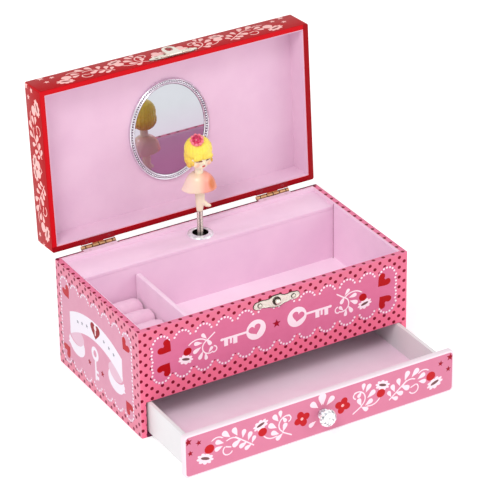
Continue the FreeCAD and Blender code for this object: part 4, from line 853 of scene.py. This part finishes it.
# ---------------------------------------------------------------- the drawer
# A white paper-covered tray box with a printed, glossy front panel across the full width. The front
# has rounded corners and white edges, and is glued and pinned to the box.
white_paper, point = finish("white_paper_board", Coat_Weight=0.1, Coat_Roughness=0.3, Specular_IOR_Level=0.35)
grain = point.noise(0.5, 3.0)
paint(white_paper, 0.02, grain, Base_Color=point.noise(22.0).blend(ink(218, 216, 218), ink(228, 226, 228)),
      Roughness=grain.ramp(0.2, 0.8, 0.42, 0.58))
for node in ("drawer_left_side", "drawer_right_side", "drawer_bottom"):
    piece(node.replace("drawer", "covered"), block(*corners(node)), white_paper, "drawer",
          (node,), bevel=0.35)
give(white_paper, "drawer_back")

drawer_print, point = finish("drawer_printed_paper", Coat_Weight=0.05, Coat_Roughness=0.15,
                             Specular_IOR_Level=0.15)
x, y, z = point.xyz()
front_low, front_high = corners("drawer_front")
drawer_z = (front_low.z + front_high.z) / 2
sheet = x.flat(abs(x), z)
white, red, stars, centres = garland(sheet)
fan = leaves(sheet, (((0.6, 24.6), (0.6, 34.0)), ((3.4, 23.4), (9.6, 29.2)), ((5.2, 13.2), (11.2, 10.0))),
             0.6)
tone = point.noise(14.0)
colour = (white | fan).blend(tone.blend(ink(208, 120, 150), ink(216, 130, 158)), PRINT_WHITE)
colour = stars.blend(red.blend(colour, ink(190, 14, 26)), STAR_MAROON)
colour = (petal(sheet, (17.0, 18.7), 1.2, 1.2)).blend(centres.blend(colour, FLOWER_GREY), ink(250, 176, 178))
edge_x, edge_z = front_high.x - 4.0, (front_high.z - front_low.z) / 2 - 4.0
to_edge = x.flat((abs(x) - edge_x) | 0.0, (abs(z - drawer_z) - edge_z) | 0.0).length()
on_front = (y < front_low.y + 0.35) & (to_edge < 2.6)
paint(drawer_print, 0.015, point.noise(0.4, 2.0), Base_Color=on_front.blend(ink(236, 222, 230), colour),
      Roughness=tone.ramp(0.3, 0.7, 0.30, 0.40))
panel = block(front_low, front_high)
upright = [edge for edge in panel.edges if abs(edge.verts[0].co.y - edge.verts[1].co.y) > 1]
bmesh.ops.bevel(panel, geom=upright, affect="EDGES", offset=3.0, segments=8, profile=0.5, material=-1)
piece("drawer_front_panel", panel, drawer_print, "drawer", ("drawer_front",), bevel=0.8)


# ---------------------------------------------------------------- crystal knob
# A clear acrylic knob, cut like a gem with a silvered back, on a turned chrome ferrule. One screw
# through the drawer front holds both.
chrome, point = finish("chrome_plate", Metallic=1.0)
smear = point.noise(3.0, 3.0)
paint(chrome, Base_Color=smear.blend(ink(206, 208, 214), ink(240, 241, 245)),
      Roughness=smear.ramp(0.3, 0.7, 0.05, 0.14))
knob_low, knob_high = corners("crystal_knob")
knob_at = Vector((0, knob_high.y, (knob_low.z + knob_high.z) / 2))
radius = (knob_high.x - knob_low.x) / 2
gem = bmesh.new()
for share, out, count, turn in ((0.40, 0.0, 12, 0), (0.80, 2.2, 12, 0.5), (1.0, 3.9, 24, 0),
                                (1.0, 4.9, 24, 0), (0.86, 6.9, 12, 0.5),
                                (0.60, 8.2, 12, 0), (0.34, 8.98, 6, 0.5)):
    for number in range(count):
        angle = math.tau * (number + turn) / count
        gem.verts.new((radius * share * math.cos(angle), -out, radius * share * math.sin(angle)))
bmesh.ops.convex_hull(gem, input=gem.verts)
move(gem, knob_at)
crystal, point = finish("cut_acrylic", Coat_Weight=1.0, Coat_Roughness=0.02)
glint = point.node("Attribute", {"attribute_name": "glint"}, {}, output=2)
sparkle = glint.ramp(0.0, 1.0)
paint(crystal, Base_Color=sparkle.blend(ink(150, 152, 160), ink(255, 255, 255)),
      Roughness=sparkle.ramp(0.0, 1.0, 0.22, 0.04),
      Metallic=sparkle.ramp(0.0, 1.0, 0.75, 0.15))
knob = piece("crystal_knob_cut", gem, crystal, "drawer", ("crystal_knob",), smooth=1)
flashes = knob.data.attributes.new("glint", "FLOAT", "FACE")
for value in flashes.data:
    value.value = random.choice((0.02, 0.55, 0.8, 0.95, 1.0, 1.0, 1.0))
ferrule_high = corners("knob_ferrule")[1]
piece("turned_ferrule", turned([(2.5, 3.0), (2.5, 1.7), (3.2, 1.5), (4.2, 1.2), (4.34, 0.7), (4.34, 0.0)],
                               (0, ferrule_high.y, knob_at.z)), chrome, "drawer", ("knob_ferrule",))
give(chrome, "knob_screw")


# ---------------------------------------------------------------- grommet and pole
# A chromed ring is pressed into the shelf, its throat painted near black as painted shade, and the
# pole is a close-wound steel spring that rises through it, so the lid can push the doll down. Five
# dark lines are painted up the pole as a painted reflection.
ring = turned([(6.0, 0.0), (6.0, 1.0), (6.3, 1.45), (6.9, 1.5), (8.2, 1.35), (9.2, 1.0), (9.8, 0.5),
               (10.0, 0.0)],
              (spindle.x, spindle.y, grommet_high.z - 1.5), axis="Z", steps=64)
add(ring, turned([(6.0, 0.05), (6.0, -4.5), (7.5, -4.5), (7.5, 0.0)],
                 (spindle.x, spindle.y, grommet_high.z - 1.5), axis="Z", steps=64))
bright, point = finish("grommet_chrome", Metallic=0.35)
x, y, z = point.xyz()
# The throat is painted near black: painted shade down the hole.
throat = (x.flat(x - spindle.x, y - spindle.y).length() < 6.35) & (z < grommet_high.z - 0.5)
smear = point.noise(2.5, 3.0)
paint(bright, Base_Color=throat.blend(smear.ramp(0.35, 0.65).blend(ink(206, 206, 212), ink(252, 252, 254)),
                                      ink(24, 18, 18)),
      Roughness=smear.ramp(0.3, 0.7, 0.05, 0.16))
piece("pressed_grommet", ring, bright, "case", ("spindle_grommet",), smooth=50)

steel, point = finish("spring_steel", Metallic=0.6)
streak = point.noise(0.5, 3.0)
x, y, z = point.xyz()
# A painted reflection: five dark lines round the pole, placed for a view from the front left.
reflection_lines = (x.maths("ARCTAN2", y - spindle.y, x - spindle.x) * 5.0 + 2.618).sine().ramp(-1.0, -0.35)
paint(steel, 0.02, streak, Roughness=streak.ramp(0.2, 0.8, 0.22, 0.34),
      Base_Color=(reflection_lines * 0.9 + streak * 0.1).blend(ink(70, 48, 44), ink(244, 232, 224)))
WIRE, STEPS, COIL_RADIUS, coil_top = 0.19, 14, 2.3, 103.3
coil_low = corners("pole_spring")[0].z + WIRE
turns = int((coil_top - coil_low) / (2 * WIRE))
coil = bmesh.new()
section = bmesh.ops.create_circle(coil, segments=5, radius=WIRE,
                                  matrix=Matrix.Translation((COIL_RADIUS - WIRE, 0,
                                                             0)) @ Matrix.Rotation(math.pi / 2, 4, "X"))
bmesh.ops.spin(coil, geom=section["verts"] + list(coil.edges), cent=(0, 0, 0), axis=(0, 0, 1),
               angle=math.tau * turns,
               steps=STEPS * turns, dvec=(0, 0, 2 * WIRE / STEPS))
move(coil, (spindle.x, spindle.y, coil_low))
add(coil, turned([(0, coil_top - coil_low), (1.9, coil_top - coil_low), (1.9, 0), (0, 0)],
                 (spindle.x, spindle.y, coil_low), axis="Z"))
add(coil, turned([(1.5, 8.0), (1.5, 0.0)], (spindle.x, spindle.y, coil_top), axis="Z"))
piece("wound_pole", coil, steel, "pole", ("pole_spring",), smooth=60)
give(steel, "drive_spindle", "mainspring")


# ---------------------------------------------------------------- the dancer
# A hollow moulded plastic doll, painted: cream skin with a dark band under the hem as painted
# shadow, a salmon bell dress painted paler on its left as painted light, with an orange patch on
# one side, yellow bobbed hair painted darker low down as painted shade, and a magenta rosette.
# Legs, dress, head and hair are separate mouldings pushed together.
def moulded(bm, grain_size=0.35, rounds=6):
    """Melts overlapping lumps into one smooth moulding."""
    lumps = in_scene("lumps", meshed("lumps", bm))
    melt = lumps.modifiers.new("melt", "REMESH")
    melt.mode, melt.voxel_size = "VOXEL", grain_size
    ease = lumps.modifiers.new("ease", "SMOOTH")
    ease.factor, ease.iterations = 0.5, rounds
    graph = bpy.context.evaluated_depsgraph_get()
    result = bmesh.new()
    result.from_mesh(bpy.data.meshes.new_from_object(lumps.evaluated_get(graph)))
    bpy.data.objects.remove(lumps)
    return result


def lump(target, at, half, turn=(0, 0, 0)):
    """Adds an egg of three half sizes to a moulding."""
    where = Matrix.Translation(at) @ Matrix.Rotation(math.radians(turn[2]), 4, "Z") @ Matrix.Rotation(
        math.radians(turn[1]), 4, "Y") @ Matrix.Rotation(math.radians(turn[0]), 4,
                                                         "X") @ Matrix.Diagonal((*half, 1))
    bmesh.ops.create_icosphere(target, subdivisions=4, radius=1.0, matrix=where)


def limb(target, start, end, first, last):
    """Adds a round tapering limb between two points."""
    start, end = Vector(start), Vector(end)
    along = end - start
    where = Matrix.Translation((start + end) / 2) @ along.to_track_quat("Z", "Y").to_matrix().to_4x4()
    bmesh.ops.create_cone(target, cap_ends=True, segments=24, radius1=first, radius2=last,
                          depth=along.length, matrix=where)
    lump(target, end, (last, last, last))


def plastic(name, **fixed):
    return finish(name, Coat_Weight=0.35, Coat_Roughness=0.12, Specular_IOR_Level=0.45,
                  Subsurface_Weight=0.12,
                  Subsurface_Scale=0.002, **fixed)


sx, sy = spindle.x, spindle.y
head_z, hair_z, hem_z, leg_z = 148.4, 154.8, 122.2, 103.6
skin, point = plastic("painted_skin")
x, y, z = point.xyz()
face = x.flat(abs(x - sx), z - head_z)
forward = y < sy - 3.0
lashes = together([stem(face, (3.6, -0.9), 1.7, 90, 80, 0.5), stem(face, (3.6, 1.2), 2.2, 90, 50, 0.3),
                   petal(face, (3.6, 0.2), 1.2, 0.9), petal(face, (3.8, 1.6), 2.6, 0.5, 8)]) & forward
mouth = (petal(face, (0.0, -4.9), 1.3, 0.75) | petal(face, (0.55, -4.5), 0.7, 0.5)) & forward
blush = (placed(face, (4.9, -3.2)).length()).ramp(0.6, 2.6, 1.0, 0.0) & forward
tone = point.noise(6.0)
colour = tone.blend(ink(242, 228, 196), ink(248, 236, 210))
# A dark band under the hem: painted shadow.
colour = (z.ramp(hem_z - 1.8, hem_z + 0.6, 0.0, 0.75) & (z < hem_z + 6.0)).blend(colour, ink(120, 100, 72))
colour = (blush * 0.5).blend(colour, ink(238, 138, 96))
colour = mouth.blend(lashes.blend(colour, ink(122, 50, 22)), ink(196, 46, 40))
paint(skin, 0.02, point.noise(1.5), Base_Color=colour, Roughness=tone.ramp(0.3, 0.7, 0.28, 0.38))

legs = bmesh.new()
limb(legs, (sx, sy, hem_z + 3), (sx, sy, leg_z + 3.2), 3.5, 2.9)
limb(legs, (sx, sy, leg_z + 3.2), (sx, sy, leg_z + 0.9), 2.9, 2.5)
lump(legs, (sx, sy, leg_z + 12.5), (3.4, 3.4, 4.5))
limb(legs, (sx + 1.2, sy - 1.4, hem_z + 2), (sx + 1.2, sy - 1.6, hem_z - 9.5), 2.5, 2.1)
limb(legs, (sx + 1.2, sy - 1.6, hem_z - 10.5), (sx + 4.2, sy - 2.8, hem_z - 13.6), 2.2, 1.8)
lump(legs, (sx + 5.2, sy - 3.2, hem_z - 14.2), (2.6, 1.6, 1.5), (0, 20, -20))
legs = moulded(legs)
for vert in legs.verts:
    vert.co.z = max(vert.co.z, leg_z)
piece("dancer_legs", legs, skin, "doll", ("doll_legs",), smooth=60)

cloth, point = plastic("dress_paint")
x, y, z = point.xyz()
fold = point.noise(5.0)
sideways = (x - sx) * 0.87 - (y - sy) * 0.5
# Paler on the left, salmon on the right: painted light from the left on a salmon dress.
colour = sideways.ramp(-10.0, -1.0).blend(ink(246, 218, 204), ink(240, 216, 188))
colour = sideways.ramp(0.0, 5.0).blend(colour, ink(244, 162, 142))
patch = placed(x.flat(sideways, z - hem_z), (9.6, 5.6), 14, (2.7, 5.9)).length().ramp(0.45, 1.15, 1.0, 0.0)
colour = patch.blend(colour, ink(214, 108, 26))
paint(cloth, 0.05, fold, Base_Color=(fold * 0.15).blend(colour, ink(246, 190, 172)),
      Roughness=fold.ramp(0.3, 0.7, 0.30, 0.42))
dress = bmesh.new()
outline = [(3.3, 13.2), (5.0, 12.8), (6.8, 11.7), (8.4, 9.9), (9.7, 7.6), (10.8, 5.0), (11.8, 2.7),
           (12.7, 1.1), (13.3, 0.3),
           (13.1, -0.1), (12.0, 0.3), (9.4, 4.6), (6.4, 7.4), (3.2, 8.0)]
verts = [dress.verts.new((out, 0, rise)) for out, rise in outline]
edges = [dress.edges.new((verts[i], verts[(i + 1) % len(verts)])) for i in range(len(verts))]
bmesh.ops.spin(dress, geom=verts + edges, cent=(0, 0, 0), axis=(0, 0, 1), angle=math.tau, steps=120,
               use_merge=True)
for vert in dress.verts:
    angle = math.atan2(vert.co.y, vert.co.x)
    flare = max(0.0, 1 - vert.co.z / 10.0)
    ripple = 1 + 0.006 * flare * math.cos(11 * angle + 0.6) + 0.012 * flare * math.cos(5 * angle)
    flat_on = Matrix.Rotation(math.radians(-17), 2)
    wide, deep = flat_on.transposed() @ vert.co.xy * ripple
    full = 0.10 * math.sin(math.pi * min(1.0, max(0.0, vert.co.z / 13.0))) * (1.3 if wide > 0 else 0.2)
    vert.co.xy = flat_on @ Vector((wide * (1 + full), deep * (0.96 - 0.26 * flare)))
    vert.co.z += 0.12 * flare * math.cos(11 * angle + 0.6)
move(dress, (sx, sy, hem_z))
piece("dancer_dress", dress, cloth, "doll", ("doll_dress",), smooth=60)
head = bmesh.new()
lump(head, (sx, sy, head_z + 0.4), (9.1, 8.9, 8.7))
lump(head, (sx, sy - 1.8, head_z - 4.2), (6.0, 6.2, 5.0))
lump(head, (sx, sy - 8.9, head_z - 1.9), (0.95, 1.0, 1.0))
for side in (-1, 1):
    lump(head, (sx + side * 4.9, sy - 5.2, head_z - 3.4), (2.6, 2.6, 2.4))
limb(head, (sx, sy, head_z - 4), (sx, sy, hem_z + 12.2), 3.0, 3.2)
piece("dancer_head", moulded(head, 0.35, 5), skin, "doll", ("doll_head",), smooth=60)

yellow, point = plastic("hair_paint")
x, y, z = point.xyz()
tone = point.noise(7.0)
strand = (point.node("Attribute", {"attribute_name": "strand"}, {}, output=2))
# Darker orange towards the bottom of the hair: painted shade under the bob.
colour = (z - hair_z).ramp(-11.0, -2.0).blend(ink(206, 140, 40), ink(250, 220, 66))
paint(yellow, 0.12, strand, Base_Color=(tone * 0.35 + strand * 0.12).blend(colour, ink(255, 240, 112)),
      Roughness=tone.ramp(0.3, 0.7, 0.22, 0.34))
hair = bmesh.new()
lump(hair, (sx, sy + 0.2, hair_z - 0.2), (10.4, 10.4, 10.2))
lump(hair, (sx, sy + 2.6, head_z + 0.8), (9.8, 8.4, 8.8))
for side in (-1, 1):
    lump(hair, (sx + side * 7.6, sy + 0.4, hair_z - 7.6), (3.2, 5.0, 4.2))
    lump(hair, (sx + side * 8.4, sy - 1.6, hair_z - 10.4), (2.4, 2.8, 2.2), (0, side * 30, side * 20))
    lump(hair, (sx + side * 6.8, sy - 5.2, hair_z - 8.6), (2.0, 2.0, 2.3), (0, 0, side * 30))
    lump(hair, (sx + side * 3.6, sy - 7.4, hair_z - 3.6), (4.6, 2.6, 3.2), (0, side * 16, 0))
lump(hair, (sx + 1.0, sy - 8.0, hair_z - 4.2), (3.0, 2.2, 2.6), (0, 20, 0))
hair = moulded(hair, 0.4, 7)
for vert in hair.verts:
    forward = max(0.0, (sy - 3.0 - vert.co.y) / 8.0)
    side_in = max(0.0, 1 - (abs(vert.co.x - sx) / 8.2) ** 4)
    lift = max(0.0, (head_z + 1.4) - vert.co.z) * side_in
    if forward > 0 and lift > 0:
        vert.co.y += min(lift * 1.6, 3.2 + forward * 8.0) * side_in
    away = Vector((vert.co.x - sx, vert.co.y - sy, 0))
    wave = math.sin(math.atan2(away.y, away.x) * 23 + vert.co.z * 0.25)
    if away.length > 2.5:
        vert.co += away.normalized() * 0.12 * wave
waves = hair.verts.layers.float.new("strand")
for vert in hair.verts:
    wave = math.sin(math.atan2(vert.co.y - sy, vert.co.x - sx) * 46 + vert.co.z * 0.5)
    vert[waves] = 0.5 + 0.5 * wave
piece("dancer_hair", hair, yellow, "doll", ("doll_hair",), smooth=70)

magenta, point = plastic("rosette_paint")
tone = point.noise(1.4, 4.0)
paint(magenta, 0.08, tone, Base_Color=tone.ramp(0.35, 0.65).blend(ink(160, 0, 44), ink(226, 22, 92)),
      Roughness=tone.ramp(0.3, 0.7, 0.22, 0.36))
rose_pink, point = plastic("rosette_edge_paint")
tone = point.noise(2.0, 3.0)
paint(rose_pink, 0.04, tone, Base_Color=tone.blend(ink(232, 96, 120), ink(246, 140, 152)),
      Roughness=tone.ramp(0.3, 0.7, 0.25, 0.36))
crown_at = Matrix.Translation((sx - 3.6, sy - 4.8,
                               hair_z + 9.6)) @ Matrix.Rotation(math.radians(34), 4, "X") @ Matrix.Rotation(
    math.radians(-18), 4, "Y")
petals, heart_petals = bmesh.new(), bmesh.new()
for target, ring_of, size, rise, count in ((petals, 3.9, 1.4, 0.9, 9), (heart_petals, 2.4, 1.2, 1.9, 7),
                                           (heart_petals, 1.0, 1.0, 2.8, 4)):
    for number in range(count):
        angle = math.tau * (number + 0.5 * (count == 7)) / count
        bmesh.ops.create_icosphere(target, subdivisions=3, radius=1.0, matrix=crown_at @ Matrix.Translation(
            (ring_of * math.cos(angle), ring_of * math.sin(angle),
             rise)) @ Matrix.Diagonal((size, size, size * 0.9, 1)))
bmesh.ops.create_icosphere(heart_petals, subdivisions=3, radius=1.0,
                           matrix=crown_at @ Matrix.Translation((0, 0,
                                                                 1.6)) @ Matrix.Diagonal((3.3, 3.3, 2.1, 1)))
bmesh.ops.create_icosphere(petals, subdivisions=3, radius=1.0,
                           matrix=crown_at @ Matrix.Diagonal((4.8, 4.8, 1.2, 1)))
piece("dancer_rosette", heart_petals, magenta, "doll", ("doll_crown",), smooth=60)
piece("dancer_rosette_edge", petals, rose_pink, "doll", smooth=60)


# ---------------------------------------------------------------- the musical movement
# Behind the tray: a brass drum and barrel in a pressed steel frame, a steel comb on its heel and the
# governor. The winding key comes out of the case's back.
def metal(name, deep, pale, low, high):
    material, point = finish(name, Metallic=1.0)
    lines = point.node("Mapping", {"vector_type": "POINT"},
                       {"Vector": point, "Scale": (0.25, 1.0, 3.0)}).noise(1.0, 4.0, 0.7)
    paint(material, 0.02, lines, Base_Color=(lines * 0.6 + point.noise(6.0) * 0.4).blend(deep, pale),
          Roughness=lines.ramp(0.2, 0.8, low, high))
    return material


drum_brass = metal("movement_brass", ink(168, 132, 66), ink(222, 188, 112), 0.24, 0.40)
frame_steel = metal("movement_steel", ink(128, 129, 132), ink(196, 197, 200), 0.26, 0.44)
give(drum_brass, "pinned_cylinder", "spring_barrel", "governor_wheel")
give(frame_steel, "movement_bedplate", "cylinder_frame", "music_comb", "comb_base", "movement_screws",
     "winding_arbor",
     "governor_fly", "winding_key")


# ---------------------------------------------------------------- floor, light and camera
# A plain white sweep under soft light from the upper left, with a weaker lamp on the right and a
# white room. The camera looks down at the front's left corner.
floor_mesh = bmesh.new()
bmesh.ops.create_grid(floor_mesh, x_segments=2, y_segments=2, size=6.0)
floor = in_scene("floor", meshed("floor", floor_mesh))
paper, point = finish("white_sweep", Roughness=0.9, Specular_IOR_Level=0.0,
                      Emission_Color=(1.0, 1.0, 1.0, 1.0),
                      Emission_Strength=0.28)
paint(paper, Base_Color=point.noise(400.0).blend(ink(252, 252, 252), ink(255, 255, 255)))
floor.data.materials.append(paper)

world = bpy.data.worlds.new("studio")
bpy.context.scene.world = world
world.use_nodes = True
background = world.node_tree.nodes["Background"]
path = world.node_tree.nodes.new("ShaderNodeLightPath")
seen = Wire(world.node_tree, path.outputs["Is Camera Ray"]) | Wire(world.node_tree,
                                                                   path.outputs["Is Glossy Ray"]) \
    | Wire(world.node_tree, path.outputs["Is Transmission Ray"])
world.node_tree.links.new(seen.ramp(0.0, 1.0, 0.74, 1.0).socket, background.inputs["Strength"])
background.inputs["Color"].default_value = (1.0, 1.0, 1.0, 1.0)


def softbox(name, at, aim, size, power):
    lamp = bpy.data.lights.new(name, "AREA")
    lamp.shape, lamp.size, lamp.energy = "DISK", size, power
    holder = in_scene(name, lamp)
    holder.location = at
    holder.rotation_euler = (Vector(aim) - Vector(at)).to_track_quat("-Z", "Y").to_euler()


softbox("key", (-1.3, -1.1, 1.9), (0, 0, 0.1), 0.9, 22.0)
softbox("fill", (1.6, -1.6, 1.0), (0, 0, 0.1), 1.4, 9.0)

AZIMUTH, ELEVATION, ROLL = -0.5219768459, 0.4980179975, -0.0170933966
DISTANCE, TARGET, FOCAL = 2.0000029, Vector((0.0028917, -0.0095873, 0.1023826)), 2747.16
toward = Vector((math.sin(AZIMUTH) * math.cos(ELEVATION), -math.cos(AZIMUTH) * math.cos(ELEVATION),
                 math.sin(ELEVATION)))
right = Vector((math.cos(AZIMUTH), math.sin(AZIMUTH), 0.0))
above = toward.cross(right)
level = Matrix((right, above, toward)).transposed().to_4x4()
camera_data = bpy.data.cameras.new("camera")
camera_data.sensor_width, camera_data.lens = 36.0, FOCAL / 482 * 36.0
camera = in_scene("camera", camera_data)
camera.matrix_world = Matrix.Translation(TARGET + toward * DISTANCE) @ level @ Matrix.Rotation(ROLL, 4, "Z")
bpy.context.scene.camera = camera
bpy.context.scene.view_settings.view_transform = "Standard"
